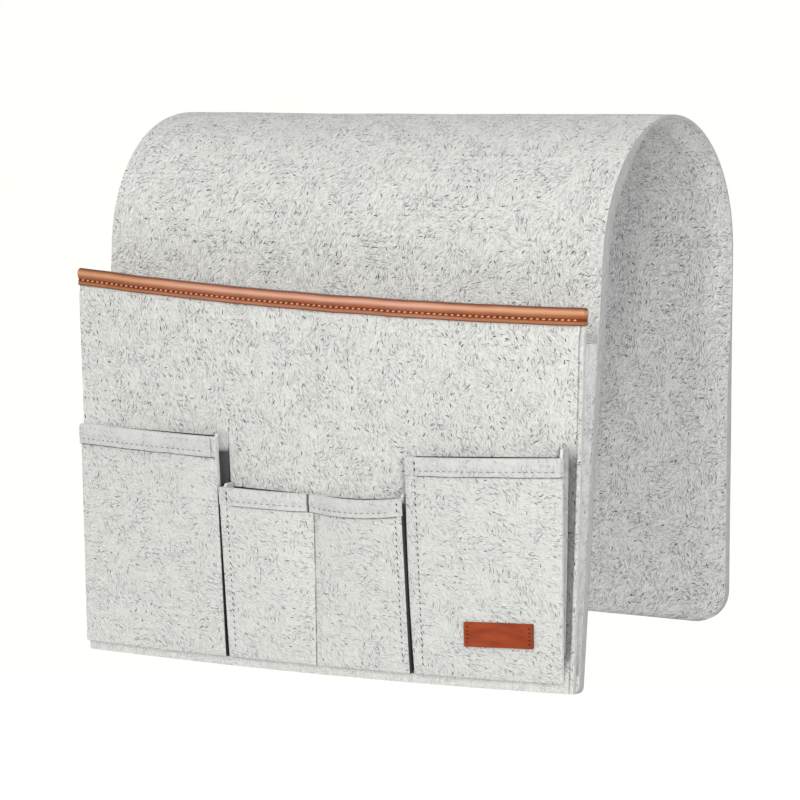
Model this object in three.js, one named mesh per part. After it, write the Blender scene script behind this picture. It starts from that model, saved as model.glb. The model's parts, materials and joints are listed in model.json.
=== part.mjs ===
// A felt organizer that hangs over the armrest of a sofa. One thick strip of felt lies over the armrest
// like a saddle. Its front drop carries a magazine pocket with folded side gussets and a leather binding,
// and the magazine pocket carries a left pocket, a pair of middle pockets and a right pocket.
//
// Millimetres, +Z up, the pockets face -Y. The origin is the middle of the strip's crown, on the
// underside, where it rests on the armrest.

import * as THREE from 'three';

// Thickness of each stock
const stripFelt = 6.5;
const pocketFelt = 3.2;
const hemFelt = 2;
const boundFelt = 1.8;
const gussetFelt = 1.8;
const bindingLeather = 1.2;
const labelLeather = 1.4;
const seamGap = 0.3;

// The armrest that the strip is shaped for, and the two drops, measured from the crown's underside
const armrestHalfDepth = 84.5;
const archRise = 76;
const frontDrop = 305.8;
const backDrop = 298.5;
const frontSplay = THREE.MathUtils.degToRad(6.45);
const backCornerRadius = 18;
const frontCornerRadius = 3.5;

// Pocket widths along the bottom, from left to right, and what lies between and beside them
const leftPocketWidth = 97.2;
const middlePocketWidth = 119.8;
const rightPocketWidth = 94.4;
const pocketSlit = 1.7;
const rightBorder = 2.6;
const stripMargin = 1.8;

// Magazine pocket: the front panel flares towards its mouth, which stands open and bows forward
const magazineHeight = 219.1;
const magazineFlare = 5.9;
const mouthDepth = 22.1;
const mouthBow = 13;
const mouthSkew = 4.1;
const mouthDroop = 2.6;
const bottomSkew = 2.3;
const bottomDroop = 2.3;
const gussetStart = 0.08;
const gussetBelowBinding = 12;
const magazineFold = 11;

// Leather binding folded over the magazine pocket's mouth
const bindingHeight = 10.4;
const pinchLength = 9;
const bindingOverhang = 0.4;

// Small pockets
const bottomBorder = 5.7;
const hemHeight = 11.4;
const hemInset = 1.6;
const leftPocketHeight = 131.7;
const middlePocketHeight = 104.3;
const middlePocketDroop = 1.6;
const rightPocketHeight = 131.1;
const rightPocketRise = 2.6;
const leftPocketStandoff = 9.6;
const middlePocketStandoff = 8.6;
const rightPocketStandoff = 8;
const rightPocketBulge = 2.4;
const sideFold = 6.5;
const sideFoldInset = 1.2;
const leftGussetLip = 1.8;
const leftGussetFlare = 2.4;
const rightGussetLip = 4.6;
const pleatFold = 4.5;
const pleatLip = 1.6;
const seamValley = 5.8;
const middleSeamShift = -1.8;
const smallGussetStart = 0.13;

// Leather label on the right pocket
const labelWidth = 42.4;
const labelHeight = 14.2;
const labelRadius = 1.5;
const labelAbovePocket = 19.3;
const labelOffCentre = 7.8;
const labelTilt = THREE.MathUtils.degToRad(3.2);

// Facets
const archHalfSteps = 13;
const cornerSteps = 4;
const legSteps = 5;
const stripColumns = 12;
const panelColumns = 20;
const panelRows = 11;
const pinchRows = 5;
const pocketColumns = 14;
const pocketRows = 9;
const bindingArcSteps = 6;
const gussetRows = 10;

const felt = new THREE.MeshStandardMaterial({ color: 0xd5d5cf, roughness: 0.96, metalness: 0 });
const gussetCloth = new THREE.MeshStandardMaterial({ color: 0xcbccc8, roughness: 0.97, metalness: 0 });
const bindingHide = new THREE.MeshStandardMaterial({ color: 0xb4632f, roughness: 0.42, metalness: 0 });
const labelHide = new THREE.MeshStandardMaterial({ color: 0x9e4a2b, roughness: 0.6, metalness: 0 });

const lerp = THREE.MathUtils.lerp;
const clamp01 = (value) => THREE.MathUtils.clamp(value, 0, 1);
const evenly = (count) => Array.from({ length: count + 1 }, (_, i) => i / count);

// How far a rounded corner draws the side in, at a distance from the end
function cornerInset(distance, radius) {
  const rest = Math.max(radius - distance, 0);
  return radius - Math.sqrt(radius * radius - rest * rest);
}

// Distances from a rounded end at which rows follow the corner's arc
function cornerDistances(radius) {
  return evenly(cornerSteps).map((step) => radius * (1 - Math.cos((step * Math.PI) / 2)));
}

// A sheet with thickness: two faces over one grid, closed by a rim. outer and inner give the points
// for a column u and a row v, and the winding is turned so that every face points out.
function sheetSolid(columns, rows, outer, inner) {
  const points = [];
  for (const face of [outer, inner]) {
    for (const v of rows) {
      for (const u of columns) {
        points.push(face(u, v));
      }
    }
  }
  const width = columns.length;
  const height = rows.length;
  const at = (face, i, j) => face * width * height + j * width + i;
  const triangles = [];
  const quad = (a, b, c, d) => triangles.push([a, b, c], [a, c, d]);
  for (let j = 0; j + 1 < height; j += 1) {
    for (let i = 0; i + 1 < width; i += 1) {
      quad(at(0, i, j), at(0, i + 1, j), at(0, i + 1, j + 1), at(0, i, j + 1));
      quad(at(1, i, j), at(1, i, j + 1), at(1, i + 1, j + 1), at(1, i + 1, j));
    }
  }
  for (let i = 0; i + 1 < width; i += 1) {
    quad(at(0, i, 0), at(1, i, 0), at(1, i + 1, 0), at(0, i + 1, 0));
    quad(at(0, i, height - 1), at(0, i + 1, height - 1), at(1, i + 1, height - 1), at(1, i, height - 1));
  }
  for (let j = 0; j + 1 < height; j += 1) {
    quad(at(0, 0, j), at(0, 0, j + 1), at(1, 0, j + 1), at(1, 0, j));
    quad(at(0, width - 1, j), at(1, width - 1, j), at(1, width - 1, j + 1), at(0, width - 1, j + 1));
  }
  const volume = triangles.reduce((sum, [a, b, c]) => {
    const cross = new THREE.Vector3().crossVectors(points[b], points[c]);
    return sum + points[a].dot(cross);
  }, 0);
  const facing = volume > 0 ? triangles : triangles.map(([a, b, c]) => [a, c, b]);
  const geometry = new THREE.BufferGeometry().setFromPoints(points);
  geometry.setIndex(facing.flat());
  geometry.computeVertexNormals();
  return geometry;
}

// Layout across the front: x of each pocket's edges
const magazineHalfBottom =
  (leftPocketWidth + middlePocketWidth + rightPocketWidth + 2 * pocketSlit + rightBorder) / 2;
const magazineHalfTop = magazineHalfBottom + magazineFlare;
const stripHalf = magazineHalfBottom + stripMargin;
const leftPocketRight = -magazineHalfBottom + leftPocketWidth;
const middlePocketLeft = leftPocketRight + pocketSlit;
const middlePocketRight = middlePocketLeft + middlePocketWidth;
const middleSeam = (middlePocketLeft + middlePocketRight) / 2 + middleSeamShift;
const rightPocketLeft = middlePocketRight + pocketSlit;
const rightPocketRight = rightPocketLeft + rightPocketWidth;

// Profile of the strip's underside. The arch is half an ellipse whose crown is one level facet, and the
// front leg leaves the ellipse where its tangent has the splay's slope.
const legTurn = Math.atan((archRise / armrestHalfDepth) * Math.tan(frontSplay));
const archStep = (Math.PI / 2 - legTurn) / (archHalfSteps - 0.5);
const archCentreZ = -archRise * Math.cos(archStep / 2);
const legTop = {
  y: -armrestHalfDepth * Math.cos(legTurn),
  z: archCentreZ + archRise * Math.sin(legTurn),
};

// Lower edge of the front, which hangs slightly lower in its middle and at its left end
function bottomEdge(x) {
  const across = x / stripHalf;
  return -frontDrop + bottomSkew * across - bottomDroop * (1 - across * across);
}

// Underside and upper side of the front leg
function frontLegInnerY(z) {
  return legTop.y - Math.tan(frontSplay) * (legTop.z - z);
}
function frontLegOuterY(z) {
  return frontLegInnerY(z) - stripFelt / Math.cos(frontSplay);
}

// Stations along the strip, from the front's lower edge over the crown to the back's lower edge. Each
// gives the underside's point at x, the way the felt's thickness goes, and how far the sides draw in.
function stripStations() {
  const stations = [];
  const frontNormal = new THREE.Vector3(0, -Math.cos(frontSplay), Math.sin(frontSplay));
  const frontLeg = (above, inset) => ({
    inset,
    normal: frontNormal,
    point: (x) => {
      const bottom = bottomEdge(x);
      const z = bottom + (legTop.z - bottom) * above;
      return new THREE.Vector3(x, frontLegInnerY(z), z);
    },
  });
  const legLength = legTop.z + frontDrop;
  for (const distance of cornerDistances(frontCornerRadius)) {
    stations.push(frontLeg(distance / legLength, cornerInset(distance, frontCornerRadius)));
  }
  const cornerShare = frontCornerRadius / legLength;
  for (const share of evenly(legSteps).slice(1, -1)) {
    stations.push(frontLeg(lerp(cornerShare, 1, share), 0));
  }
  const archAt = (angle) => ({
    inset: 0,
    normal: new THREE.Vector3(
      0, Math.cos(angle) / armrestHalfDepth, Math.sin(angle) / archRise).normalize(),
    point: (x) => new THREE.Vector3(
      x, armrestHalfDepth * Math.cos(angle), archCentreZ + archRise * Math.sin(angle)),
  });
  for (let step = archHalfSteps - 1; step >= -archHalfSteps; step -= 1) {
    stations.push(archAt(Math.PI / 2 + (step + 0.5) * archStep));
  }
  const backLeg = (z, inset) => ({
    inset,
    normal: new THREE.Vector3(0, 1, 0),
    point: (x) => new THREE.Vector3(x, armrestHalfDepth, z),
  });
  for (const share of evenly(legSteps).slice(0, -1)) {
    stations.push(backLeg(lerp(archCentreZ, -backDrop + backCornerRadius, share), 0));
  }
  for (const distance of cornerDistances(backCornerRadius).reverse()) {
    stations.push(backLeg(-backDrop + distance, cornerInset(distance, backCornerRadius)));
  }
  return stations;
}

function saddleSheet() {
  const stations = stripStations();
  const underside = (u, station) => station.point(lerp(-1, 1, u) * (stripHalf - station.inset));
  const upperside = (u, station) => underside(u, station).addScaledVector(station.normal, stripFelt);
  return sheetSolid(evenly(stripColumns), stations, upperside, underside);
}

// Magazine pocket. The mouth is the binding's upper edge, and the panel's own edge lies inside the fold.
const bindingRadius = boundFelt / 2 + seamGap + bindingLeather;
const mouthZ = magazineHeight - frontDrop;

function mouthEdge(x) {
  const across = x / magazineHalfTop;
  return mouthZ - mouthSkew * across - mouthDroop * (1 - across * across);
}
function magazineShare(x, z) {
  const bottom = bottomEdge(x);
  return clamp01((z - bottom) / (mouthEdge(x) - bottom));
}
function magazineHalf(z) {
  return magazineHalfBottom + magazineFlare * clamp01((z + frontDrop) / magazineHeight);
}
function magazineBackY(x, z) {
  const share = magazineShare(x, z);
  const across = x / magazineHalfTop;
  const bow = mouthBow * Math.sqrt(share) * (1 - across * across);
  return frontLegOuterY(z) - seamGap - share * (mouthDepth + bow);
}
// The felt is squeezed thin where the binding holds it
function magazineThickness(x, z) {
  const belowMouth = mouthEdge(x) - z;
  const free = THREE.MathUtils.smoothstep(belowMouth, bindingHeight + 1, bindingHeight + pinchLength);
  return lerp(boundFelt, pocketFelt, free);
}
function magazineFrontY(x, z) {
  return magazineBackY(x, z) - magazineThickness(x, z);
}

function magazineFrontPanel() {
  const corner = cornerDistances(frontCornerRadius).map((distance) => distance / magazineHeight);
  const pinchStart = 1 - (bindingHeight + pinchLength) / magazineHeight;
  const flat = evenly(panelRows).slice(1).map((share) => lerp(corner[cornerSteps], pinchStart, share));
  const pinched = evenly(pinchRows).slice(1).map((share) => lerp(pinchStart, 1, share));
  const place = (u, v) => {
    const inset = cornerInset(v * magazineHeight, frontCornerRadius);
    const half = lerp(magazineHalfBottom, magazineHalfTop, v) - inset;
    const x = lerp(-1, 1, u) * half;
    return { x, z: lerp(bottomEdge(x), mouthEdge(x) - bindingRadius, v) };
  };
  const face = (surface) => (u, v) => {
    const { x, z } = place(u, v);
    return new THREE.Vector3(x, surface(x, z), z);
  };
  const rows = [...corner, ...flat, ...pinched];
  return sheetSolid(evenly(panelColumns), rows, face(magazineFrontY), face(magazineBackY));
}

// Leather folded over the panel's edge: down the front, round the top and down the back
function magazineTopBinding() {
  const half = magazineHalfTop + bindingOverhang;
  const legDrop = bindingHeight - bindingRadius;
  const path = [
    { side: -1, drop: legDrop },
    { side: -1, drop: legDrop / 2 },
    ...evenly(bindingArcSteps).map((share) => ({ angle: Math.PI * (1 - share) })),
    { side: 1, drop: legDrop / 2 },
    { side: 1, drop: legDrop },
  ];
  const fold = (clearance) => (step, share) => {
    const x = lerp(-half, half, share);
    const bendZ = mouthEdge(x) - bindingRadius;
    const reach = boundFelt / 2 + clearance;
    if (step.side === undefined) {
      const middleY = (magazineFrontY(x, bendZ) + magazineBackY(x, bendZ)) / 2;
      const y = middleY + reach * Math.cos(step.angle);
      return new THREE.Vector3(x, y, bendZ + reach * Math.sin(step.angle));
    }
    const z = bendZ - step.drop;
    const middleY = (magazineFrontY(x, z) + magazineBackY(x, z)) / 2;
    return new THREE.Vector3(x, middleY + step.side * reach, z);
  };
  return sheetSolid(path, evenly(panelColumns), fold(seamGap + bindingLeather), fold(seamGap));
}

// A gusset is a strip folded once, inwards, between a front sheet and the sheet behind it. side is -1 at
// the left of a pocket and 1 at its right. front and back give x and y at a height, and fold the crease.
function gusset({ side, bottom, topFront, topBack, front, back, fold }) {
  const path = [0, 0.5, 1];
  const place = (inward) => (across, share) => {
    const z = lerp(bottom, lerp(topFront, topBack, across), share);
    const from = front(z);
    const to = back(z);
    const crease = across === 0.5 ? fold * clamp01((to.y - from.y) / fold) : 0;
    const x = lerp(from.x, to.x, across) - side * (crease + inward);
    return new THREE.Vector3(x, lerp(from.y, to.y, across), z);
  };
  return sheetSolid(path, evenly(gussetRows), place(0), place(gussetFelt));
}

function magazineGusset(side) {
  const edge = side * (magazineHalfTop - gussetFelt);
  const top = mouthEdge(edge) - bindingHeight - gussetBelowBinding;
  return gusset({
    side,
    bottom: lerp(bottomEdge(edge), mouthEdge(edge), gussetStart),
    topFront: top,
    topBack: top,
    fold: magazineFold,
    front: (z) => {
      const x = side * (magazineHalf(z) - gussetFelt / 2);
      return { x, y: magazineBackY(x, z) + seamGap };
    },
    back: (z) => ({ x: side * (stripHalf - seamGap), y: frontLegOuterY(z) - seamGap }),
  });
}

// Small pockets. Each has its edges at the bottom and at the top, its heights, and how far its panel
// stands off the magazine pocket: standoff at the mouth, profile across, falling to nothing at the seam.
const halfAtLeftMouth = magazineHalf(leftPocketHeight - frontDrop);
const pocketBottom = (x) => bottomEdge(x) + bottomBorder;

// 0 at the seam between the middle pockets, 1 at either outer edge
function fromMiddleSeam(x) {
  const reach = x < middleSeam ? middleSeam - middlePocketLeft : middlePocketRight - middleSeam;
  return clamp01(Math.abs(x - middleSeam) / reach);
}

const leftPocket = {
  columns: evenly(pocketColumns),
  left: [-magazineHalfBottom, -halfAtLeftMouth],
  right: [leftPocketRight, leftPocketRight],
  top: () => leftPocketHeight - frontDrop,
  standoff: leftPocketStandoff,
  profile: (across) => Math.sin((across * Math.PI) / 2),
};
const seamShare = (middleSeam - middlePocketLeft) / middlePocketWidth;
const middlePocket = {
  columns: [
    ...evenly(pocketColumns / 2).map((share) => share * seamShare),
    ...evenly(pocketColumns / 2).slice(1).map((share) => lerp(seamShare, 1, share)),
  ],
  left: [middlePocketLeft, middlePocketLeft],
  right: [middlePocketRight, middlePocketRight],
  top: (x) => {
    const droop = middlePocketDroop * Math.sin(fromMiddleSeam(x) * Math.PI);
    return middlePocketHeight - frontDrop - droop;
  },
  standoff: middlePocketStandoff,
  profile: (across) => {
    const x = lerp(middlePocketLeft, middlePocketRight, across);
    return 1 - Math.pow(1 - fromMiddleSeam(x), 3);
  },
};
const rightPocket = {
  columns: evenly(pocketColumns),
  left: [rightPocketLeft, rightPocketLeft],
  right: [rightPocketRight, rightPocketRight],
  top: (x) => {
    const across = (2 * (x - rightPocketLeft)) / rightPocketWidth - 1;
    return rightPocketHeight - frontDrop + rightPocketRise * across;
  },
  standoff: rightPocketStandoff,
  profile: (across) => 1 + (rightPocketBulge / rightPocketStandoff) * (1 - (2 * across - 1) ** 2),
};

function pocketShare(pocket, x, z) {
  const bottom = pocketBottom(x);
  return clamp01((z - bottom) / (pocket.top(x) - bottom));
}
function pocketEdge(pocket, side, z) {
  const edge = side < 0 ? pocket.left : pocket.right;
  return lerp(edge[0], edge[1], pocketShare(pocket, edge[0], z));
}
function pocketBackY(pocket, x, z) {
  const share = pocketShare(pocket, x, z);
  const left = pocketEdge(pocket, -1, z);
  const right = pocketEdge(pocket, 1, z);
  const across = clamp01((x - left) / (right - left));
  const out = pocket.standoff * pocket.profile(across) * Math.pow(share, 0.8);
  return magazineFrontY(x, z) - seamGap - out;
}
function pocketFrontY(pocket, x, z) {
  return pocketBackY(pocket, x, z) - pocketFelt;
}

function pocketPanel(pocket) {
  const face = (surface) => (u, v) => {
    const x = lerp(lerp(pocket.left[0], pocket.left[1], v), lerp(pocket.right[0], pocket.right[1], v), u);
    const z = lerp(pocketBottom(x), pocket.top(x), v);
    return new THREE.Vector3(x, surface(pocket, x, z), z);
  };
  return sheetSolid(pocket.columns, evenly(pocketRows), face(pocketFrontY), face(pocketBackY));
}

// The felt turned over along a pocket's mouth, sewn flat on its front from x to x
function pocketHem(pocket, from, to) {
  const face = (forward) => (u, v) => {
    const x = lerp(from, to, u);
    const z = pocket.top(x) - hemHeight * (1 - v);
    return new THREE.Vector3(x, pocketFrontY(pocket, x, z) - seamGap - forward, z);
  };
  return sheetSolid(evenly(pocketColumns), evenly(2), face(hemFelt), face(0));
}

// The side of a small pocket, folded between its panel and the magazine pocket's panel. lip is how far
// its back edge stands above the mouth, and flare how far that edge goes out beyond the panel's.
function pocketGusset(pocket, side, fold, lip, flare) {
  const edges = side < 0 ? pocket.left : pocket.right;
  const top = pocket.top(edges[1]);
  return gusset({
    side,
    bottom: lerp(pocketBottom(edges[0]), top, smallGussetStart),
    topFront: top - seamGap,
    topBack: top + lip,
    fold,
    front: (z) => {
      const x = pocketEdge(pocket, side, z) - side * sideFoldInset;
      return { x, y: pocketBackY(pocket, x, z) + seamGap };
    },
    back: (z) => {
      const x = pocketEdge(pocket, side, z) + side * flare * pocketShare(pocket, edges[0], z);
      return { x, y: magazineFrontY(x, z) - seamGap };
    },
  });
}

function labelPatch() {
  const centreX = (rightPocketLeft + rightPocketRight) / 2 + labelOffCentre;
  const centreZ = pocketBottom(centreX) + labelAbovePocket + labelHeight / 2;
  const corner = cornerDistances(labelRadius);
  const rows = [...corner, ...corner.map((distance) => labelHeight - distance).reverse()];
  const face = (forward) => (u, up) => {
    const toEnd = Math.min(up, labelHeight - up);
    const along = lerp(-1, 1, u) * (labelWidth / 2 - cornerInset(toEnd, labelRadius));
    const above = up - labelHeight / 2;
    const x = centreX + along * Math.cos(labelTilt) - above * Math.sin(labelTilt);
    const z = centreZ + along * Math.sin(labelTilt) + above * Math.cos(labelTilt);
    return new THREE.Vector3(x, pocketFrontY(rightPocket, x, z) - seamGap - forward, z);
  };
  return sheetSolid(evenly(6), rows, face(labelLeather), face(0));
}

const organizer = new THREE.Group();

function add(name, geometry, material) {
  const mesh = new THREE.Mesh(geometry, material);
  mesh.name = name;
  organizer.add(mesh);
}

add('saddle_sheet', saddleSheet(), felt);
add('magazine_front_panel', magazineFrontPanel(), felt);
add('magazine_top_binding', magazineTopBinding(), bindingHide);
add('magazine_left_gusset', magazineGusset(-1), gussetCloth);
add('magazine_right_gusset', magazineGusset(1), gussetCloth);

add('left_pocket_panel', pocketPanel(leftPocket), felt);
add('left_pocket_hem', pocketHem(leftPocket, -halfAtLeftMouth + seamGap, leftPocketRight), felt);
add('left_pocket_gusset', pocketGusset(leftPocket, 1, sideFold, leftGussetLip, leftGussetFlare), gussetCloth);

add('middle_pocket_panel', pocketPanel(middlePocket), felt);
add('middle_left_hem', pocketHem(
  middlePocket, middlePocketLeft + hemInset, middleSeam - seamValley / 2), felt);
add('middle_right_hem', pocketHem(
  middlePocket, middleSeam + seamValley / 2, middlePocketRight), felt);
add('middle_left_pleat', pocketGusset(middlePocket, -1, pleatFold, pleatLip, -hemInset), gussetCloth);
add('middle_right_pleat', pocketGusset(middlePocket, 1, pleatFold, pleatLip, 0), gussetCloth);

add('right_pocket_panel', pocketPanel(rightPocket), felt);
add('right_pocket_hem', pocketHem(rightPocket, rightPocketLeft + hemInset, rightPocketRight), felt);
add('right_pocket_left_gusset', pocketGusset(rightPocket, -1, sideFold, 0, 0), gussetCloth);
add('right_pocket_right_gusset', pocketGusset(
  rightPocket, 1, sideFold, rightGussetLip, -sideFoldInset), gussetCloth);
add('label_patch', labelPatch(), labelHide);

export default organizer;
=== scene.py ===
# Looks of the felt armrest organizer. Shapes are worked out in millimetres and made in metres, in the
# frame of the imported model: +X runs along the armrest, the pockets face -Y, and the origin lies on the
# underside of the crown.

import json
import random
from collections import namedtuple
from math import atan, copysign, cos, dist, exp, inf, pi, radians, sin, sqrt, tan

import bmesh
import bpy
from mathutils import Matrix, Vector, noise


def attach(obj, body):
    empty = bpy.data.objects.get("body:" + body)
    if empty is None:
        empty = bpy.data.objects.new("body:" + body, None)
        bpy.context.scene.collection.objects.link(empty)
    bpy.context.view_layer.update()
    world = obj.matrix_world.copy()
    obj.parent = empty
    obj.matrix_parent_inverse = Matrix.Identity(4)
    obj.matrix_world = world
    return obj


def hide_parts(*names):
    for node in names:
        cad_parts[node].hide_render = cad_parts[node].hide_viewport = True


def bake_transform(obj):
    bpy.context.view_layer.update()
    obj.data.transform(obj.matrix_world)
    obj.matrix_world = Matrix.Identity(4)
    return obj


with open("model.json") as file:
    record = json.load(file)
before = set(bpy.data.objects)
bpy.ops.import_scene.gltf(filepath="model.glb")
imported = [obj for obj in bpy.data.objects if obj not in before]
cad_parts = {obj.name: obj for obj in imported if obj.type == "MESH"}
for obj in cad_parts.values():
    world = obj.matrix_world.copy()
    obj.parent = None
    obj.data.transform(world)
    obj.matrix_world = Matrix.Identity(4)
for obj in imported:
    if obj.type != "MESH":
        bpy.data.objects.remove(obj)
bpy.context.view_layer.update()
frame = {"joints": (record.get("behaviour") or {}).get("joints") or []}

MM = 0.001

# Camera: field of view, direction and distance of the photograph
FOCAL_PIXELS = 3400
PICTURE_PIXELS = 800
CAMERA_AZIMUTH = radians(28.7)
CAMERA_ELEVATION = radians(7.15)
CAMERA_DISTANCE = 2.0375
CAMERA_TARGET = Vector((-0.0156, 0, -0.165))

# Studio: how bright the surroundings are, the floor's height and glow, and the lamps' azimuth and elevation
# in degrees, distance and size in metres, and power. Azimuth 0 looks at the pockets and 90 at the right end
AMBIENT = 0.52
FLOOR_LEVEL = -0.95
FLOOR_GLOW = 0.83
LAMPS = {
    "key": (-16, 12, 2.6, 0.3, 4),
    "high": (4, 30, 2.4, 0.6, 11),
    "top": (-20, 72, 2.4, 1.4, 3),
    "side": (37, 8, 2.6, 0.6, 28),
    "back": (190, 15, 2.6, 1.0, 12),
    "left": (265, 15, 2.6, 1.0, 12),
}
KEY_COLOUR = (1.0, 0.995, 0.98)
LAMPS_TARGET = Vector((0, 0, -0.15))

# Thickness of each stock
STRIP_FELT = 6.5
POCKET_FELT = 3.2
HEM_FELT = 1.6
BOUND_FELT = 1.8
GUSSET_FELT = 1.8
BINDING_LEATHER = 1.2
LABEL_LEATHER = 1.4
SEAM_GAP = 0.3

# The strip: the armrest that it goes over, its two drops below the crown, and its corners
ARMREST_HALF_DEPTH = 84.5
ARCH_RISE = 76
FRONT_DROP = 306.5
BACK_DROP = 299.6
FRONT_SPLAY = radians(6.45)
BACK_CORNER = 20
FRONT_CORNER = 4.0
LOW_CORNER = 1.5
LEG_STEP = 0.035
ARCH_STEP = 0.045
BACK_STEP = 7

# How the strip's crown lies: its tilt, its fuller and slacker shoulders, and faint waves
CROWN_TILT = 3.0
FULL_SHOULDER = radians(131)
SHOULDER_REACH = radians(32)
SHOULDER_FULLNESS = 4.3
SHOULDER_SLACK = 1.0
CROWN_WAVE = 0.54
BACK_WAVE = 1.6

# The strip's right end, pressed thin over the crown and the back, and fuller above the front drop
PRESSED_REACH = 16.0
PRESSED_EDGE = 4.6
FULL_EDGE = 2.6
FULL_EDGE_FADE = (-165, -95)
PRESSED_BACK_FADE = (-170, -100)
PRESSED_CROWN_FADE = (2.4, 1.8)

# Pocket widths along the bottom, from left to right
LEFT_WIDTH = 97.2
MIDDLE_WIDTH = 119.8
RIGHT_WIDTH = 94.4
SLIT = 1.7
RIGHT_BORDER = 2.6
STRIP_MARGIN = 1.8

# Magazine pocket
MAGAZINE_HEIGHT = 219.8
MAGAZINE_FLARE = 5.9
MOUTH_DEPTH = 22.1
MOUTH_BOW = 13
MOUTH_SPRING = 3.2
MOUTH_SKEW = 4.1
MOUTH_DROOP = 2.6
BOTTOM_SKEW = 2.3
BOTTOM_DROOP = 2.3
PANEL_CORNER = 0.8
PINCH_LENGTH = 9
MAGAZINE_FOLD = 8
GUSSET_START = 0.045
GUSSET_BELOW_BINDING = 12
MARGIN_SHADE = 0.72
BORDER_PRESSED = 0.85

# Leather binding
BINDING_HEIGHT = 9.9
BINDING_OVERHANG = 0.4
BINDING_STITCH_UP = 3.1
BINDING_SWELL_UP = 7.2
BINDING_STITCH_PITCH = 3.6
BINDING_WANDER = 0.25
BINDING_PUCKER = 0.18
BINDING_PINCH = 0.75
UPPER_SWELL = 0.8
LOWER_SWELL = 0.2
END_TUCKS = ((0, 0.6), (0.25, 0.86))

# Small pockets
BOTTOM_BORDER = 5.7
LEFT_HEM = 11.4
MIDDLE_HEM = 10.0
RIGHT_HEM = 10.2
HEM_INSET = 1.6
LEFT_HEIGHT = 132.4
MIDDLE_HEIGHT = 103.7
MIDDLE_DROOP = 1.0
MIDDLE_RISE = 2.2
MIDDLE_SAG = 1.2
RIGHT_HEIGHT = 131.8
RIGHT_RISE = 2.6
LEFT_STANDOFF = 9.6
MIDDLE_STANDOFF = 8.6
RIGHT_STANDOFF = 8
RIGHT_BULGE = 2.4
SIDE_FOLD = 6.5
OUTER_FOLD = 3.5
SIDE_INSET = 1.2
PLEAT_FOLD = 4.5
PLEAT_LIP = 1.6
LEFT_LIP = 1.8
LEFT_FLARE = 2.4
RIGHT_LIP = 4.6
SEAM_VALLEY = 4.0
MIDDLE_SEAM_SHIFT = -1.8
SMALL_GUSSET_START = 0.13
GUSSET_BAND = 8.6
BAND_FOLD = 0.12
BAND_FADE = 7
GUSSET_WAVE = 0.21
GUSSET_ROWS = 60
CREASE_ROUNDING = 0.02
HEM_SWELL = 0.35
HEM_WAVER = 0.3
PLAIN_HEM = 0.15
ROUND_EDGE = 3.4
LEFT_LEAN = 1.2
RIGHT_LEAN_LOW = -2.0
RIGHT_LEAN_HIGH = 0.6
RIGHT_BOW = 1.2

# Shade in the slits between the pockets, above their mouths and in their folds
SLIT_SHADE = 0.97
LEFT_SLIT_REACH = 0.25
RIGHT_SLIT_REACH = 0.8
SLIT_SHADE_FADE = 0.3
MOUTH_SHADE_DROP = 0.8
BAND_END_SHADE = 0.9
LEFT_FOLD_SHADE = 0.9
PLEAT_SHADE = 0.8
OUTER_FOLD_SHADE = 0.12

# Label
LABEL_WIDTH = 42.4
LABEL_HEIGHT = 14.2
LABEL_CORNER = 0.8
LABEL_ABOVE_POCKET = 19.3
LABEL_OFF_CENTRE = 7.8
LABEL_TILT = radians(3.2)
LABEL_LEAN = 0.02
LABEL_GROOVE_INSET = 1.7
LABEL_STITCH_INSET = 2.0
LABEL_STITCH_MARGIN = 1.5

# Sewing
SEAM_INSET = 2.6
HEM_STITCH_SHARE = 0.72
HEM_STITCH_SHIFT = 1.7
HEM_STITCH_PITCH = 3.8
SIDE_STITCH_PITCH = 3.5
SIDE_STITCH_INSET = 6.0
PLEAT_STITCH_INSET = 5.0
LABEL_STITCH_PITCH = 2.2
RANDOM_SEED = 11

# How far the cut edges are rounded, and how far the finer grid reaches beside a groove
THICK_ROUNDING = 0.9
POCKET_ROUNDING = 1.1
THIN_ROUNDING = 0.5
LABEL_ROUNDING = 0.35
GROOVE_REACH = 1.6

# Grooves, each with its width and depth: where seams draw the felt in, and where a pocket's edge is rounded
LEFT_SIDE_GROOVE = (1.2, 0.15)
RIGHT_SIDE_GROOVE = (1.2, 0.55)
MIDDLE_SEAM_GROOVE = (1.1, 0.7)
PLEAT_GROOVE = (1.1, 0.25)
SIDE_STITCH_GROOVE = (1.0, 0.2)
HEM_GROOVE = (1.2, 0.4)
LABEL_GROOVE = (0.8, 0.3)
LEFT_ROUNDED_EDGE = (1.5, 0.6)
RIGHT_ROUNDED_EDGE = (1.6, 0.3)

# Stitches: length, width and height of each kind, and how unevenly they are sewn
BINDING_STITCH = (2.5, 1.15, 1.0)
HEM_STITCH = (2.2, 0.5, 0.45)
SIDE_STITCH = (2.1, 0.75, 0.5)
LABEL_STITCH = (2.2, 0.6, 0.5)
STITCH_SHIFT = 0.12
STITCH_SWING = 0.1
STITCH_SCALE = (0.85, 1.08)

# The directions in which the felts' hair lies on their pieces
ALONG_STRIP = radians(48)
UNDER_STRIP = radians(125)
UPRIGHT = radians(100)
FALLING = radians(143)

# Felt's matted hair, in metres: a tuft's length and width where it lies along its lean, falls below it and
# rises above it
HAIR_SPREAD = radians(40)
LEANING_HAIR = (0.0030, 0.00062)
FALLING_HAIR = (0.0027, 0.00058)
RISING_HAIR = (0.0029, 0.00058)

# Fibres: the size of their cells, their length and width, the share of cells that hold one, and a seed
SHORT_FIBRES = (0.0029, 0.0027, 0.00054, 0.6, 23.9)
LONG_FIBRES = (0.0035, 0.0030, 0.00050, 0.6, 11.3)
BLACK_FIBRES = (0.0056, 0.0024, 0.00074, 0.5, 51.3)
FIBRE_SWAY = 5.5
FIBRE_TURN = 0.65

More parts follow.
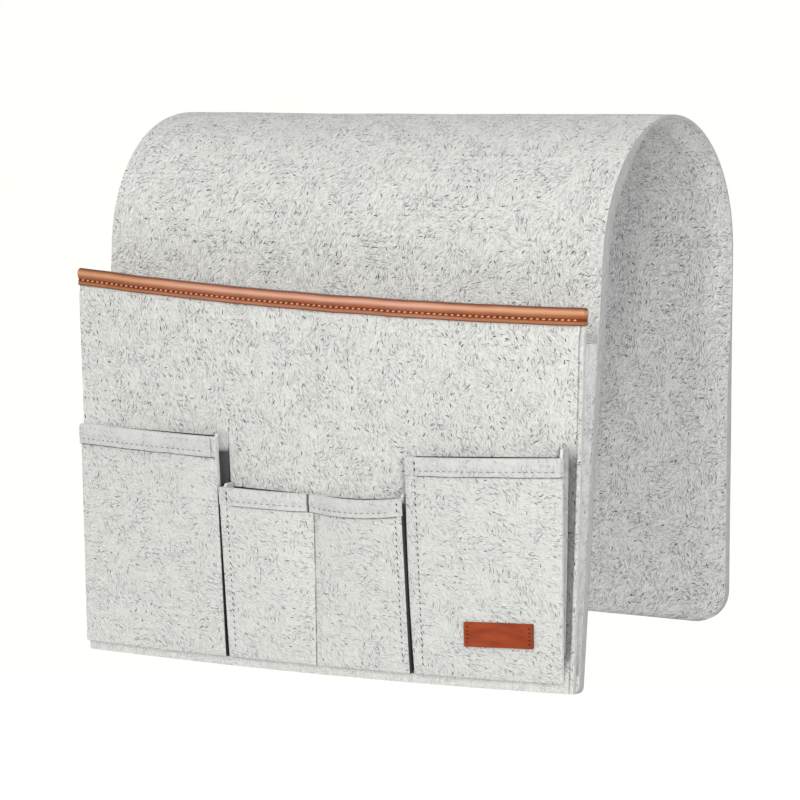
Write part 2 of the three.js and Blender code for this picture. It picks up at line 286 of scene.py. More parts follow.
# Sizes in the felt: its drifts, its darker patches, the hair's wobble and the grain
DRIFT_SIZE = 0.021
PATCH_SIZE = 0.014
WOBBLE_SIZE = 0.0048
GRAIN_SIZE = 0.0007
HAIR_WOBBLE = 0.0024
FIBRE_WOBBLE = 0.0012

# Painted shade deep inside the arch, away from the strip's right end: the underside is darkened fully from
# its middle out to the second place below and left pale beyond the first. Both places lie nearer the middle
# lower down
CROWN_SHADE_START = 0.139
CROWN_SHADE_FULL = 0.111
CROWN_SHADE_SLOPE = 0.25
CROWN_SHADE_TONE = (0.79, 0.79, 0.81)
# The near-black that seam lines and painted shade and shadow lines are mixed towards
SEAM_AND_SHADE_DARK = (0.018, 0.017, 0.019)


def lerp(a, b, t):
    return a + (b - a) * t


def clamp01(value):
    return min(max(value, 0.0), 1.0)


def smooth(value, low, high):
    t = clamp01((value - low) / (high - low))
    return t * t * (3 - 2 * t)


def evenly(count):
    return [i / count for i in range(count + 1)]


def spread(low, high, step):
    count = max(1, round(abs(high - low) / step))
    return [lerp(low, high, t) for t in evenly(count)]


def with_lines(values, lines, reach):
    """Adds close values on both sides of each line, so that a groove there has its own grid."""
    extra = [line + shift * reach for line in lines for shift in (-1, -0.5, 0, 0.5, 1)]
    low, high = min(values), max(values)
    kept = [v for v in values if all(abs(v - line) > reach * 1.2 for line in lines)]
    return sorted(kept + [v for v in extra if low < v < high])


def ripple(x, z, wavelength, seed):
    return noise.noise(Vector((x / wavelength, z / wavelength, seed)))


def groove(value, line, width, depth):
    away = abs(value - line) / width
    return depth * exp(-away * away * 2)


def corner_inset(distance, radius):
    rest = max(radius - distance, 0)
    return radius - sqrt(radius * radius - rest * rest)


def corner_distances(radius, steps):
    return [radius * (1 - cos(t * pi / 2)) for t in evenly(steps)]


# Layout across the front
HALF_BOTTOM = (LEFT_WIDTH + MIDDLE_WIDTH + RIGHT_WIDTH + 2 * SLIT + RIGHT_BORDER) / 2
HALF_TOP = HALF_BOTTOM + MAGAZINE_FLARE
STRIP_HALF = HALF_BOTTOM + STRIP_MARGIN
LEFT_RIGHT = -HALF_BOTTOM + LEFT_WIDTH
MIDDLE_LEFT = LEFT_RIGHT + SLIT
MIDDLE_RIGHT = MIDDLE_LEFT + MIDDLE_WIDTH
MIDDLE_SEAM = (MIDDLE_LEFT + MIDDLE_RIGHT) / 2 + MIDDLE_SEAM_SHIFT
RIGHT_LEFT = MIDDLE_RIGHT + SLIT
RIGHT_RIGHT = RIGHT_LEFT + RIGHT_WIDTH

# Profile of the strip's underside, as in the model: half an ellipse and two legs
LEG_TURN = atan(ARCH_RISE / ARMREST_HALF_DEPTH * tan(FRONT_SPLAY))
ARCH_CENTRE_Z = -ARCH_RISE
LEG_TOP_Y = -ARMREST_HALF_DEPTH * cos(LEG_TURN)
LEG_TOP_Z = ARCH_CENTRE_Z + ARCH_RISE * sin(LEG_TURN)


def bottom_edge(x):
    across = x / STRIP_HALF
    return -FRONT_DROP + BOTTOM_SKEW * across - BOTTOM_DROOP * (1 - across * across)


def leg_inner_y(z):
    return LEG_TOP_Y - tan(FRONT_SPLAY) * (LEG_TOP_Z - z)


def leg_outer_y(z):
    return leg_inner_y(z) - STRIP_FELT / cos(FRONT_SPLAY)


# The magazine pocket's surfaces
MOUTH_Z = MAGAZINE_HEIGHT - FRONT_DROP
BINDING_INNER = BOUND_FELT / 2 + SEAM_GAP
BINDING_RADIUS = BINDING_INNER + BINDING_LEATHER
BINDING_FLAP = BINDING_HEIGHT - BINDING_RADIUS
BINDING_HALF = HALF_TOP + BINDING_OVERHANG


def mouth_edge(x):
    across = x / HALF_TOP
    return MOUTH_Z - MOUTH_SKEW * across - MOUTH_DROOP * (1 - across * across)


def magazine_share(x, z):
    bottom = bottom_edge(x)
    return clamp01((z - bottom) / (mouth_edge(x) - bottom))


def magazine_half(z):
    return HALF_BOTTOM + MAGAZINE_FLARE * clamp01((z + FRONT_DROP) / MAGAZINE_HEIGHT)


def magazine_back(x, z):
    share = magazine_share(x, z)
    across = x / HALF_TOP
    bow = MOUTH_BOW * sqrt(share) * (1 - across * across)
    sprung = MOUTH_SPRING * share * share * share * across * across
    return leg_outer_y(z) - SEAM_GAP - share * (MOUTH_DEPTH + bow) - sprung


def magazine_front(x, z):
    free = smooth(mouth_edge(x) - z, BINDING_HEIGHT + 1, BINDING_HEIGHT + PINCH_LENGTH)
    return magazine_back(x, z) - lerp(BOUND_FELT, POCKET_FELT, free)


def magazine_middle(x, z):
    return (magazine_front(x, z) + magazine_back(x, z)) / 2


def pocket_bottom(x):
    return bottom_edge(x) + BOTTOM_BORDER


def from_middle_seam(x):
    reach = MIDDLE_SEAM - MIDDLE_LEFT if x < MIDDLE_SEAM else MIDDLE_RIGHT - MIDDLE_SEAM
    return clamp01(abs(x - MIDDLE_SEAM) / reach)


def middle_mouth(x):
    """The middle pockets' mouths: straight at the left of their seam, hanging and rising at its right."""
    away = from_middle_seam(x)
    base = MIDDLE_HEIGHT - FRONT_DROP - MIDDLE_DROOP * (1 - away)
    if x < MIDDLE_SEAM:
        return base
    return base + MIDDLE_RISE * away * away - 4 * MIDDLE_SAG * away * (1 - away)


class Pocket(namedtuple("Pocket", "body left right top standoff profile hem plain bow")):
    """A small pocket: its body, its side edges at the bottom and the mouth, its mouth line, how far it
    stands off the magazine pocket and where across it, its hem's height, how wide the hem lies plain
    under the stitches at its left and right, and how far its left edge bows out."""

    def share(self, x, z):
        bottom = pocket_bottom(x)
        return clamp01((z - bottom) / (self.top(x) - bottom))

    def edge_at(self, side, share):
        low, high = self.left if side < 0 else self.right
        bow = self.bow * 4 * share * (1 - share) if side < 0 else 0
        return lerp(low, high, share) - bow

    def edge(self, side, z):
        low = self.left[0] if side < 0 else self.right[0]
        return self.edge_at(side, self.share(low, z))

    def back(self, x, z):
        left, right = self.edge(-1, z), self.edge(1, z)
        across = clamp01((x - left) / (right - left))
        out = self.standoff * self.profile(across) * self.share(x, z) ** 0.8
        return magazine_front(x, z) - SEAM_GAP - out

    def front(self, x, z):
        return self.back(x, z) - POCKET_FELT

    def hem_edge(self, x):
        """The hem's lower edge, which wavers as a hand-cut edge does."""
        return self.top(x) - self.hem + HEM_WAVER * ripple(x, 3, 14, 1.0)

    def hem_fullness(self, x):
        """How proud the hem stands: it is pressed thin where the stitches at a side hold it down."""
        from_sides = (x - self.left[1], self.right[1] - x)
        free = [smooth(away, wide - 0.6, wide + 0.6) for away, wide in zip(from_sides, self.plain) if wide]
        return lerp(PLAIN_HEM, 1, min(free, default=1))


HALF_AT_MOUTHS = magazine_half(LEFT_HEIGHT - FRONT_DROP)

left_pocket = Pocket(
    body="magazine_pocket",
    left=(-HALF_BOTTOM, -HALF_AT_MOUTHS),
    right=(LEFT_RIGHT, LEFT_RIGHT + LEFT_LEAN),
    top=lambda x: LEFT_HEIGHT - FRONT_DROP,
    standoff=LEFT_STANDOFF,
    profile=lambda across: sin(across * pi / 2),
    hem=LEFT_HEM,
    plain=(0, 0),
    bow=0,
)
middle_pocket = Pocket(
    body="magazine_pocket",
    left=(MIDDLE_LEFT, MIDDLE_LEFT),
    right=(MIDDLE_RIGHT, MIDDLE_RIGHT),
    top=middle_mouth,
    standoff=MIDDLE_STANDOFF,
    profile=lambda across: 1 - (1 - from_middle_seam(lerp(MIDDLE_LEFT, MIDDLE_RIGHT, across))) ** 3,
    hem=MIDDLE_HEM,
    plain=(PLEAT_STITCH_INSET + 1, PLEAT_STITCH_INSET - 1),
    bow=0,
)
right_pocket = Pocket(
    body="right_pocket",
    left=(RIGHT_LEFT, RIGHT_LEFT),
    right=(RIGHT_RIGHT + RIGHT_LEAN_LOW, RIGHT_RIGHT + RIGHT_LEAN_HIGH),
    top=lambda x: RIGHT_HEIGHT - FRONT_DROP + RIGHT_RISE * (2 * (x - RIGHT_LEFT) / RIGHT_WIDTH - 1),
    standoff=RIGHT_STANDOFF,
    profile=lambda across: 1 + RIGHT_BULGE / RIGHT_STANDOFF * (1 - (2 * across - 1) ** 2),
    hem=RIGHT_HEM,
    plain=(SIDE_STITCH_INSET + 1, 0),
    bow=RIGHT_BOW,
)


# Materials: colours are linear red, green and blue, and sizes are in metres


class Graph:
    """A material's node tree, with short calls for the nodes that the materials share."""

    def __init__(self, name, noise_dimensions="3D"):
        self.material = bpy.data.materials.new(name)
        self.material.use_nodes = True
        self.tree = self.material.node_tree
        self.shader = self.tree.nodes["Principled BSDF"]
        self.noise_dimensions = noise_dimensions

    def put(self, socket, value):
        """Links a value to a socket, or sets a constant on it. Colours are given without alpha."""
        if hasattr(value, "is_output"):
            self.tree.links.new(value, socket)
        elif socket.type == "RGBA":
            socket.default_value = (*value, 1)
        else:
            socket.default_value = value

    def node(self, kind, inputs=None, **settings):
        made = self.tree.nodes.new("ShaderNode" + kind)
        for key, value in settings.items():
            setattr(made, key, value)
        for key, value in (inputs or {}).items():
            self.put(made.inputs[key], value)
        return made

    def math(self, operation, *values):
        return self.node("Math", dict(enumerate(values)), operation=operation).outputs[0]

    def times(self, a, b):
        return self.math("MULTIPLY", a, b)

    def away_from(self, value, line):
        return self.math("ABSOLUTE", self.math("SUBTRACT", value, line))

    def vector(self, operation, *values):
        return self.node("VectorMath", dict(enumerate(values)), operation=operation).outputs[0]

    def scaled(self, vector, factor):
        return self.node("VectorMath", {0: vector, "Scale": factor}, operation="SCALE").outputs[0]

    def moved(self, place, shift, factor):
        return self.vector("ADD", place, self.scaled(shift, factor))

    def turned(self, place, angle):
        made = self.node("VectorRotate", {"Vector": place, "Angle": angle}, rotation_type="Z_AXIS")
        return made.outputs["Vector"]

    def parts(self, place):
        return self.node("SeparateXYZ", {"Vector": place}).outputs

    def channels(self, colour):
        return self.node("SeparateColor", {"Color": colour}).outputs

    def ramp(self, value, low, high, to_low=0.0, to_high=1.0):
        inputs = {"Value": value, "From Min": low, "From Max": high, "To Min": to_low, "To Max": to_high}
        return self.node("MapRange", inputs, interpolation_type="SMOOTHSTEP").outputs["Result"]

    def noise(self, place, size, detail=2.0, roughness=0.5, output="Fac"):
        inputs = {"Vector": place, "Scale": 1 / size, "Detail": detail, "Roughness": roughness}
        return self.node("TexNoise", inputs, noise_dimensions=self.noise_dimensions).outputs[output]

    def mix(self, factor, a, b, blend="MIX"):
        inputs = {"Factor": factor, "A": a, "B": b}
        return self.node("Mix", inputs, data_type="RGBA", blend_type=blend).outputs["Result"]

    def between(self, factor, a, b):
        inputs = {"Factor": factor, "A": a, "B": b}
        return self.node("Mix", inputs, data_type="FLOAT").outputs["Result"]

    def tinted(self, colour, *layers):
        """Lays tones over a colour. A layer is what it follows, where that starts and where it is full,
        how strong the tone is there, and the tone."""
        for follows, start, full, strength, tone in layers:
            colour = self.mix(self.ramp(follows, start, full, 0.0, strength), colour, tone)
        return colour

    def sheet_place(self, layer):
        """The coordinates that sheet_mesh writes: cloth, seams or shade."""
        return self.node("UVMap", uv_map=layer).outputs["UV"]

    def object_place(self):
        return self.node("TexCoord").outputs["Object"]

    def pebbles(self, place, size):
        inputs = {"Vector": place, "Scale": 1 / size}
        return self.node("TexVoronoi", inputs, feature="SMOOTH_F1").outputs["Distance"]

    def hairs(self, place, direction, length, width):
        """Noise drawn out along a direction, as matted hair lies."""
        turned = self.turned(place, -direction)
        return self.noise(self.vector("MULTIPLY", turned, (1 / length, 1 / width, 1.0)), 1.0, 1.0)

    def fibres(self, place, field, cell, length, width, kept, seed):
        """Short curved fibres, one to a cell: 1 on a fibre and 0 beside it."""
        shifted = self.vector("ADD", self.scaled(place, 1 / cell), (seed, seed * 1.7, 0))
        inputs = {"Vector": shifted, "Scale": 1.0, "Randomness": 0.9}
        cells = self.node("TexVoronoi", inputs, voronoi_dimensions="2D", feature="F1").outputs
        chance = self.channels(cells["Color"])
        turn = self.math("ADD", field, self.times(chance["Red"], 1.3))
        part = self.parts(self.turned(self.vector("SUBTRACT", shifted, cells["Position"]), turn))
        along = self.math("ABSOLUTE", part["X"])
        across = self.away_from(part["Y"], self.times(self.times(along, along), 0.5))
        in_length = self.ramp(along, 0.5 * length / cell, 0.3 * length / cell)
        in_width = self.ramp(across, 0.5 * width / cell, 0.1 * width / cell)
        present = self.ramp(chance["Green"], 1 - kept, 1 - kept * 0.4)
        return self.times(self.times(in_length, in_width), present)

    def seam_shade(self, place, depth):
        """Fine dark lines where the cloth is stitched down, painted shadow lines where another layer ends on
        it, painted shade in its folds and slits and, by depth, painted shade below a pocket's mouth."""
        part = self.parts(self.sheet_place("seams"))
        lines = self.ramp(self.math("ABSOLUTE", part["X"]), 0.00055, 0.0002)
        if depth:
            below = self.ramp(part["Y"], 0.0002, -0.0002, 0.0, depth)
            lines = self.math("MAXIMUM", self.times(lines, 0.45), below)
        else:
            ledge = self.ramp(self.math("ABSOLUTE", self.math("ADD", part["Y"], 0.0004)), 0.00055, 0.0002)
            broken = self.ramp(self.noise(place, 0.004), 0.3, 0.55, 0.35, 0.75)
            lines = self.times(self.math("MAXIMUM", lines, ledge), broken)
        return self.math("MAXIMUM", lines, self.fold_shade()["X"])

    def fold_shade(self):
        """X is how deep the felt lies in shade, Y how firmly it is pressed flat."""
        return self.parts(self.sheet_place("shade"))

    def bump(self, height, strength, distance):
        inputs = {"Height": height, "Strength": strength, "Distance": distance}
        self.put(self.shader.inputs["Normal"], self.node("Bump", inputs).outputs["Normal"])

    def finish(self, colour, roughness, gloss):
        self.put(self.shader.inputs["Base Color"], colour)
        self.put(self.shader.inputs["Roughness"], roughness)
        self.put(self.shader.inputs["Specular IOR Level"], gloss)
        return self.material


def grey(level):
    return (level, level, level)


def matted_hair(g, place, wobble, drifts, lean):
    """How high the hair lies. Its lean changes from drift to drift."""
    bent = g.moved(place, wobble, HAIR_WOBBLE)
    leaning = g.hairs(bent, lean, *LEANING_HAIR)
    falling = g.hairs(bent, lean - HAIR_SPREAD, *FALLING_HAIR)
    rising = g.hairs(bent, lean + HAIR_SPREAD, *RISING_HAIR)
    lie = g.between(g.ramp(drifts["Red"], 0.44, 0.56), leaning, falling)
    return g.between(g.ramp(drifts["Green"], 0.48, 0.58), lie, rising)


# Painted shade deep inside the arch, darker away from the strip's right end
def painted_crown_shade(g, colour):
    part = g.parts(g.object_place())
    from_end = g.math("SUBTRACT", part["X"], g.times(part["Z"], CROWN_SHADE_SLOPE))
    return g.mix(g.ramp(from_end, CROWN_SHADE_START, CROWN_SHADE_FULL), colour, CROWN_SHADE_TONE, "MULTIPLY")


def felt(name, light, dark, lean, fleck=1.0, nap=1.0, depth=0.0, crown_shaded=False):
    """Melange felt: matted hair that lies in drifts, pressed in soft relief, with dark and pale fibres.
    It has dark seam lines, painted shadow lines where another layer ends on it, and painted shade in its
    folds, in its slits, by depth down inside the pockets and, on the strip's underside, deep under the
    crown."""
    g = Graph(name, noise_dimensions="2D")
    place = g.sheet_place("cloth")
    wobble = g.vector("SUBTRACT", g.noise(place, WOBBLE_SIZE, 1.0, output="Color"), grey(0.5))
    drifts = g.channels(g.noise(place, DRIFT_SIZE, 1.0, output="Color"))
    patches = g.noise(place, PATCH_SIZE, 2.5)
    grain = g.noise(place, GRAIN_SIZE, 2.0, 0.6)
    lie = matted_hair(g, place, wobble, drifts, lean)

    eased = g.moved(place, wobble, FIBRE_WOBBLE)
    sway = g.times(g.math("SUBTRACT", drifts["Red"], 0.5), FIBRE_SWAY)
    field = g.math("SUBTRACT", sway, lean + FIBRE_TURN)
    loose = g.math("SUBTRACT", 1.0, g.fold_shade()["Y"])
    hollow = g.times(g.ramp(lie, 0.47, 0.30), g.times(g.ramp(patches, 0.38, 0.62, 0.65, 1.0), loose))
    soft = g.math("MAXIMUM", g.fibres(eased, field, *SHORT_FIBRES), g.fibres(eased, field, *LONG_FIBRES))
    soft = g.times(soft, g.times(g.ramp(patches, 0.36, 0.60, 0.3, 1.0), loose))
    black = g.times(g.fibres(eased, field, *BLACK_FIBRES), loose)

    colour = g.tinted(
        g.mix(g.ramp(patches, 0.3, 0.7), light, dark),
        (grain, 0.4, 0.7, 0.16 * nap, grey(0.38)),
        (lie, 0.56, 0.68, 0.42 * nap, (0.90, 0.90, 0.885)),
    )
    colour = g.mix(g.times(hollow, 0.50 * nap), colour, (0.30, 0.305, 0.315))
    colour = g.mix(g.times(soft, 0.62 * fleck), colour, grey(0.12))
    colour = g.mix(g.times(black, 0.85 * fleck), colour, grey(0.05))
    if crown_shaded:
        colour = painted_crown_shade(g, colour)
    colour = g.mix(g.seam_shade(place, depth), colour, SEAM_AND_SHADE_DARK)

    lift = g.math("ADD", g.times(lie, 1.6 * nap), g.times(grain, 0.8 * nap))
    g.bump(g.math("SUBTRACT", lift, g.times(g.math("ADD", soft, black), 0.5)), 0.9, 0.0008)
    g.shader.inputs["Sheen Weight"].default_value = 0.10
    g.shader.inputs["Sheen Roughness"].default_value = 0.6
    return g.finish(colour, 0.95, 0.15)


def cut_felt(name, light, dark):
    """The cut edge of felt: layered, a little warmer than the face, with painted shade in the slits and
    folds.
    """
    g = Graph(name)
    place = g.object_place()
    layers = g.noise(g.vector("MULTIPLY", place, (1.0, 1.0, 0.35)), 0.0014, 3.0, 0.6)
    blotch = g.noise(place, 0.006)
    colour = g.mix(g.ramp(layers, 0.35, 0.7), light, dark)
    colour = g.tinted(colour, (blotch, 0.55, 0.75, 0.35, (0.42, 0.42, 0.41)))
    g.bump(g.math("ADD", layers, blotch), 0.6, 0.0006)
    return g.finish(g.mix(g.fold_shade()["X"], colour, (0.012, 0.011, 0.013)), 0.96, 0.12)


def leather(name, light, dark, rough, grain_size, patina):
    """Smooth finished leather: fine pebbled grain, worn patches, soft gloss."""
    g = Graph(name)
    place = g.object_place()
    pebbles = g.pebbles(place, grain_size)
    streaks = g.noise(g.vector("MULTIPLY", place, (0.25, 1.0, 1.0)), 0.004, 3.0, 0.6)
    colour = g.tinted(
        g.mix(g.ramp(streaks, 0.3, 0.7), dark, light),
        (g.noise(place, 0.02), 0.35, 0.7, patina, (0.55, 0.24, 0.12)),
        (pebbles, 0.15, 0.6, 0.18, (0.12, 0.03, 0.012)),
    )
    g.bump(g.math("ADD", pebbles, streaks), 0.25, 0.0002)
    return g.finish(colour, g.ramp(streaks, 0.2, 0.8, rough - 0.06, rough + 0.1), 0.25)


def bound_leather(name, light, dark):
    """The binding's leather: glossy grain, a painted highlight on its swell and a fainter one on its lower
    lip, painted shade in the groove where the stitches pull, edges darkened partly as burnished leather and
    partly with painted shade, and ruddier towards its ends."""
    g = Graph(name)
    place = g.object_place()
    flat = g.parts(g.sheet_place("cloth"))
    up = flat["Y"]
    from_swell = g.away_from(up, BINDING_SWELL_UP * MM)
    from_stitch = g.away_from(up, BINDING_STITCH_UP * MM)
    from_lip = g.away_from(up, 0.0013)
    streaks = g.noise(g.vector("MULTIPLY", place, (0.2, 1.0, 1.0)), 0.0025, 3.0, 0.6)
    shine = g.noise(g.vector("MULTIPLY", place, (1.0, 0.2, 0.2)), 0.03)
    colour = g.tinted(
        g.mix(g.ramp(streaks, 0.3, 0.7), dark, light),
        (shine, 0.35, 0.65, 0.35, (0.62, 0.27, 0.15)),
        # Painted highlights on the swell and on the lower lip
        (from_swell, 0.0021, 0.0, 0.62, (0.78, 0.48, 0.37)),
        (from_lip, 0.0012, 0.0002, 0.26, (0.78, 0.42, 0.27)),
        # Painted shade in the stitch groove; the edges are darkened partly as burnished leather, partly with
        # painted shade
        (from_stitch, 0.0034, 0.0010, 0.45, (0.22, 0.055, 0.016)),
        (from_stitch, 0.0010, 0.0005, 0.8, (0.11, 0.018, 0.004)),
        (up, 0.0012, 0.0003, 0.75, (0.08, 0.025, 0.012)),
        (up, (BINDING_HEIGHT - 1.3) * MM, (BINDING_HEIGHT - 0.4) * MM, 0.85, (0.10, 0.035, 0.02)),
    )
    ends = g.ramp(g.math("ABSOLUTE", flat["X"]), 0.05, 0.145)
    colour = g.mix(ends, colour, (0.92, 0.83, 0.60), "MULTIPLY")
    g.bump(g.math("ADD", g.pebbles(place, 0.0009), streaks), 0.2, 0.0002)
    gloss = g.ramp(from_stitch, 0.0008, 0.003, 0.2, 0.6)
    return g.finish(colour, g.ramp(streaks, 0.2, 0.8, 0.28, 0.42), gloss)


def thread(name, colour, shade):
    """Twisted sewing thread."""
    g = Graph(name)
    inputs = {"Vector": g.object_place(), "Scale": 900, "Distortion": 1.5}
    twist = g.node("TexWave", inputs, bands_direction="DIAGONAL").outputs["Fac"]
    g.bump(twist, 0.4, 0.0001)
    return g.finish(g.mix(twist, shade, colour), 0.7, 0.2)


def floor_paint():
    """Pale paint that glows, so that the floor stays as bright as the studio's walls."""
    g = Graph("floor_paint")
    g.put(g.shader.inputs["Emission Color"], (1.0, 1.0, 0.965))
    g.shader.inputs["Emission Strength"].default_value = FLOOR_GLOW
    colour = g.mix(g.noise(g.object_place(), 0.5), (0.35, 0.35, 0.335), (0.33, 0.33, 0.315))
    return g.finish(colour, 0.9, 0.0)


strip_felt = felt(
    "strip_felt", (0.885, 0.885, 0.85), (0.85, 0.85, 0.82), ALONG_STRIP, fleck=1.4, nap=1.15
)
# The underside's felt is paler than the face's, painted light for the shaded inside of the arch, and takes
# painted shade deep under the crown
painted_light_under_felt = felt(
    "painted_light_under_felt", (1.0, 1.0, 0.97), (0.97, 0.97, 0.95), UNDER_STRIP, fleck=1.35, nap=1.25, crown_shaded=True
)
hem_felt = felt("pressed_felt", (0.70, 0.70, 0.682), (0.665, 0.665, 0.652), UPRIGHT, fleck=0.25, nap=0.4)
pocket_felt = felt("pocket_felt", (0.785, 0.785, 0.752), (0.76, 0.76, 0.733), FALLING, fleck=0.9, nap=0.66)
# Gusset felt is paler than the pocket felt, painted light against the shade in the folds
painted_light_fold_felt = felt("gusset_felt", grey(0.84), (0.79, 0.79, 0.80), UPRIGHT, fleck=0.6, nap=0.7)
# The magazine panel's felt takes nearly black painted shade just below the small pockets' mouths
backing_felt = felt(
    "magazine_felt", (0.875, 0.875, 0.838), (0.84, 0.84, 0.81), UPRIGHT, fleck=1.4, nap=0.98, depth=0.96
)
edge_felt = cut_felt("felt_cut_edge", (0.76, 0.755, 0.74), (0.62, 0.615, 0.605))
strip_edge_felt = cut_felt("strip_cut_edge", (0.58, 0.575, 0.575), (0.47, 0.465, 0.465))
tan_leather = bound_leather("tan_leather", (0.50, 0.155, 0.062), (0.37, 0.105, 0.038))
burnt_edge = leather("burnt_edge", (0.10, 0.022, 0.010), (0.06, 0.014, 0.008), 0.6, 0.0008, 0.0)
label_leather = leather("label_leather", (0.39, 0.062, 0.014), (0.27, 0.036, 0.008), 0.62, 0.0008, 0.06)
cream_thread = thread("cream_thread", (0.95, 0.56, 0.38), (0.66, 0.30, 0.16))
grey_thread = thread("grey_thread", grey(0.36), grey(0.16))
rust_thread = thread("rust_thread", (0.11, 0.022, 0.010), (0.07, 0.015, 0.008))
# Near-black beads that stand for the shade in needle holes
painted_needle_holes = thread("painted_needle_hole", grey(0.05), grey(0.03))


# Mesh helpers

FAR_SEAM = 100
OUTWARD = Vector((0, 1, 0))


def add_piece(name, body, materials, bm):
    mesh = bpy.data.meshes.new(name)
    bm.to_mesh(mesh)
    bm.free()
    for polygon in mesh.polygons:
        polygon.use_smooth = True
    for material in materials:
        mesh.materials.append(material)
    obj = bpy.data.objects.new(name, mesh)
    bpy.context.scene.collection.objects.link(obj)
    if body:
        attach(obj, body)
    return obj


def add_sheet(name, body, materials, bm, node, slot, flat, held, **facts):
    """A sheet that stands for a node of the model. flat, its cut size in millimetres, is not used."""
    piece = add_piece(name, body, materials, bm)
    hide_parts(node)
    return piece


def face_over(place, depth):
    """A face over a grid: place gives x and z at u and v, and depth gives y there."""

    def face(u, v):
        x, z = place(u, v)
        return Vector((x, depth(x, z), z))

    return face


def sheet_mesh(
    columns, rows, outer, inner, flat, rounding, seams=lambda u, v: (FAR_SEAM, FAR_SEAM),
    shade=lambda u, v: (0, 0), lining=0,
):
    """A sheet with thickness over a grid of u and v, with rounded cut edges. Material 0 is the face,
    material 1 the cut edge and material lining the inner face. flat gives the cloth's flat place in
    millimetres, seams how far a place is from the nearest upright seam and from the nearest edge that
    lies across it, and shade how much painted shade it takes and how flat it is pressed, both from 0 to 1."""
    bm = bmesh.new()
    layers = [bm.loops.layers.uv.new(name) for name in ("cloth", "seams", "shade")]
    marks = {}
    grids = []
    for face in (outer, inner):
        grid = []
        for v in rows:
            line = [bm.verts.new(face(u, v) * MM) for u in columns]
            for u, vert in zip(columns, line):
                marks[vert] = Vector(flat(u, v)) * MM, Vector(seams(u, v)) * MM, Vector(shade(u, v))
            grid.append(line)
        grids.append(grid)

    def quad(corners, material):
        made = bm.faces.new(corners)
        made.material_index = material
        for loop in made.loops:
            for layer, mark in zip(layers, marks[loop.vert]):
                loop[layer].uv = mark

    a, b = grids
    wide, high = len(columns) - 1, len(rows) - 1
    for j in range(high):
        for i in range(wide):
            quad((a[j][i], a[j][i + 1], a[j + 1][i + 1], a[j + 1][i]), 0)
            quad((b[j][i], b[j + 1][i], b[j + 1][i + 1], b[j][i + 1]), lining)
    rim = [(0, i) for i in range(wide)] + [(j, wide) for j in range(high)]
    rim += [(high, i) for i in range(wide, 0, -1)] + [(j, 0) for j in range(high, 0, -1)]
    for (j, i), (k, m) in zip(rim, rim[1:] + rim[:1]):
        quad((a[j][i], b[j][i], b[k][m], a[k][m]), 1)
    bmesh.ops.recalc_face_normals(bm, faces=bm.faces[:])
    sharp = [e for e in bm.edges if len(e.link_faces) == 2 and e.calc_face_angle() > 0.9]
    bmesh.ops.bevel(
        bm, geom=sharp, offset=rounding * MM, segments=3, profile=0.55, affect="EDGES", clamp_overlap=True
    )
    return bm


def surface_frame(front, x, z, dx, dz):
    """Point, direction along (dx, dz), and outward normal of a front surface y(x, z)."""
    step = 0.5
    point = Vector((x, front(x, z), z))
    tx = Vector((step, front(x + step, z) - point.y, 0))
    tz = Vector((0, front(x, z + step) - point.y, step))
    along = (tx * dx + tz * dz).normalized()
    normal = tx.cross(tz).normalized()
    if normal.y > 0:
        normal.negate()
    return point, along, normal


def add_bead(bm, centre, along, normal, length, width, height):
    """One stitch: a small rounded bead lying along a direction."""
    side = along.cross(normal).normalized()
    turn = Matrix((along * length / 2, side * width / 2, normal * height / 2)).transposed().to_4x4()
    place = Matrix.Translation(centre) @ turn
    bmesh.ops.create_uvsphere(bm, u_segments=8, v_segments=5, radius=1.0, matrix=Matrix.Scale(MM, 4) @ place)


def along_path(path, reach):
    """The place that lies a distance along a path of (x, z) points, and the path's direction there."""
    for a, b in zip(path, path[1:]):
        span = dist(a, b)
        if reach <= span or b is path[-1]:
            break
        reach -= span
    t = min(reach / span, 1.0)
    return lerp(a[0], b[0], t), lerp(a[1], b[1], t), (b[0] - a[0]) / span, (b[1] - a[1]) / span


def stitch_row(name, body, front, path, pitch, size, material, lift=0.12, slant=0.0):
    """A row of stitches along a path of (x, z) points on a front surface."""
    bm = bmesh.new()
    length, width, height = size
    total = sum(dist(a, b) for a, b in zip(path, path[1:]))
    for k in range(int(total / pitch)):
        reach = (k + 0.5) * pitch + random.uniform(-STITCH_SHIFT, STITCH_SHIFT)
        x, z, dx, dz = along_path(path, reach)
        swing = slant + random.uniform(-STITCH_SWING, STITCH_SWING)
        dx, dz = dx * cos(swing) - dz * sin(swing), dx * sin(swing) + dz * cos(swing)
        point, along, normal = surface_frame(front, x, z, dx, dz)
        long = length * random.uniform(*STITCH_SCALE)
        add_bead(bm, point + normal * lift, along, normal, long, width, height)
    add_piece(name, body, [material], bm)


# The felt strip

Row = namedtuple("Row", "part at inset normal")


def strip_rows():
    """Rows from the front's lower edge over the crown to the back's. A row lies on the leg, the arch or
    the back, at a share of the leg, an angle or a height. inset is how far its ends draw in."""
    leg_normal = Vector((0, -cos(FRONT_SPLAY), sin(FRONT_SPLAY)))
    leg_length = LEG_TOP_Z + FRONT_DROP
    shares = [d / leg_length for d in corner_distances(FRONT_CORNER, 4)] + spread(0.03, 1, LEG_STEP)[:-1]
    rows = [Row("leg", s, corner_inset(s * leg_length, FRONT_CORNER), leg_normal) for s in shares]
    for angle in spread(pi - LEG_TURN, 0, ARCH_STEP):
        normal = Vector((0, cos(angle) / ARMREST_HALF_DEPTH, sin(angle) / ARCH_RISE)).normalized()
        rows.append(Row("arch", angle, 0, normal))
    corner = [-BACK_DROP + d for d in reversed(corner_distances(BACK_CORNER, 9))]
    heights = spread(ARCH_CENTRE_Z, corner[0], BACK_STEP)[1:-1] + corner
    return rows + [Row("back", z, corner_inset(z + BACK_DROP, BACK_CORNER), OUTWARD) for z in heights]


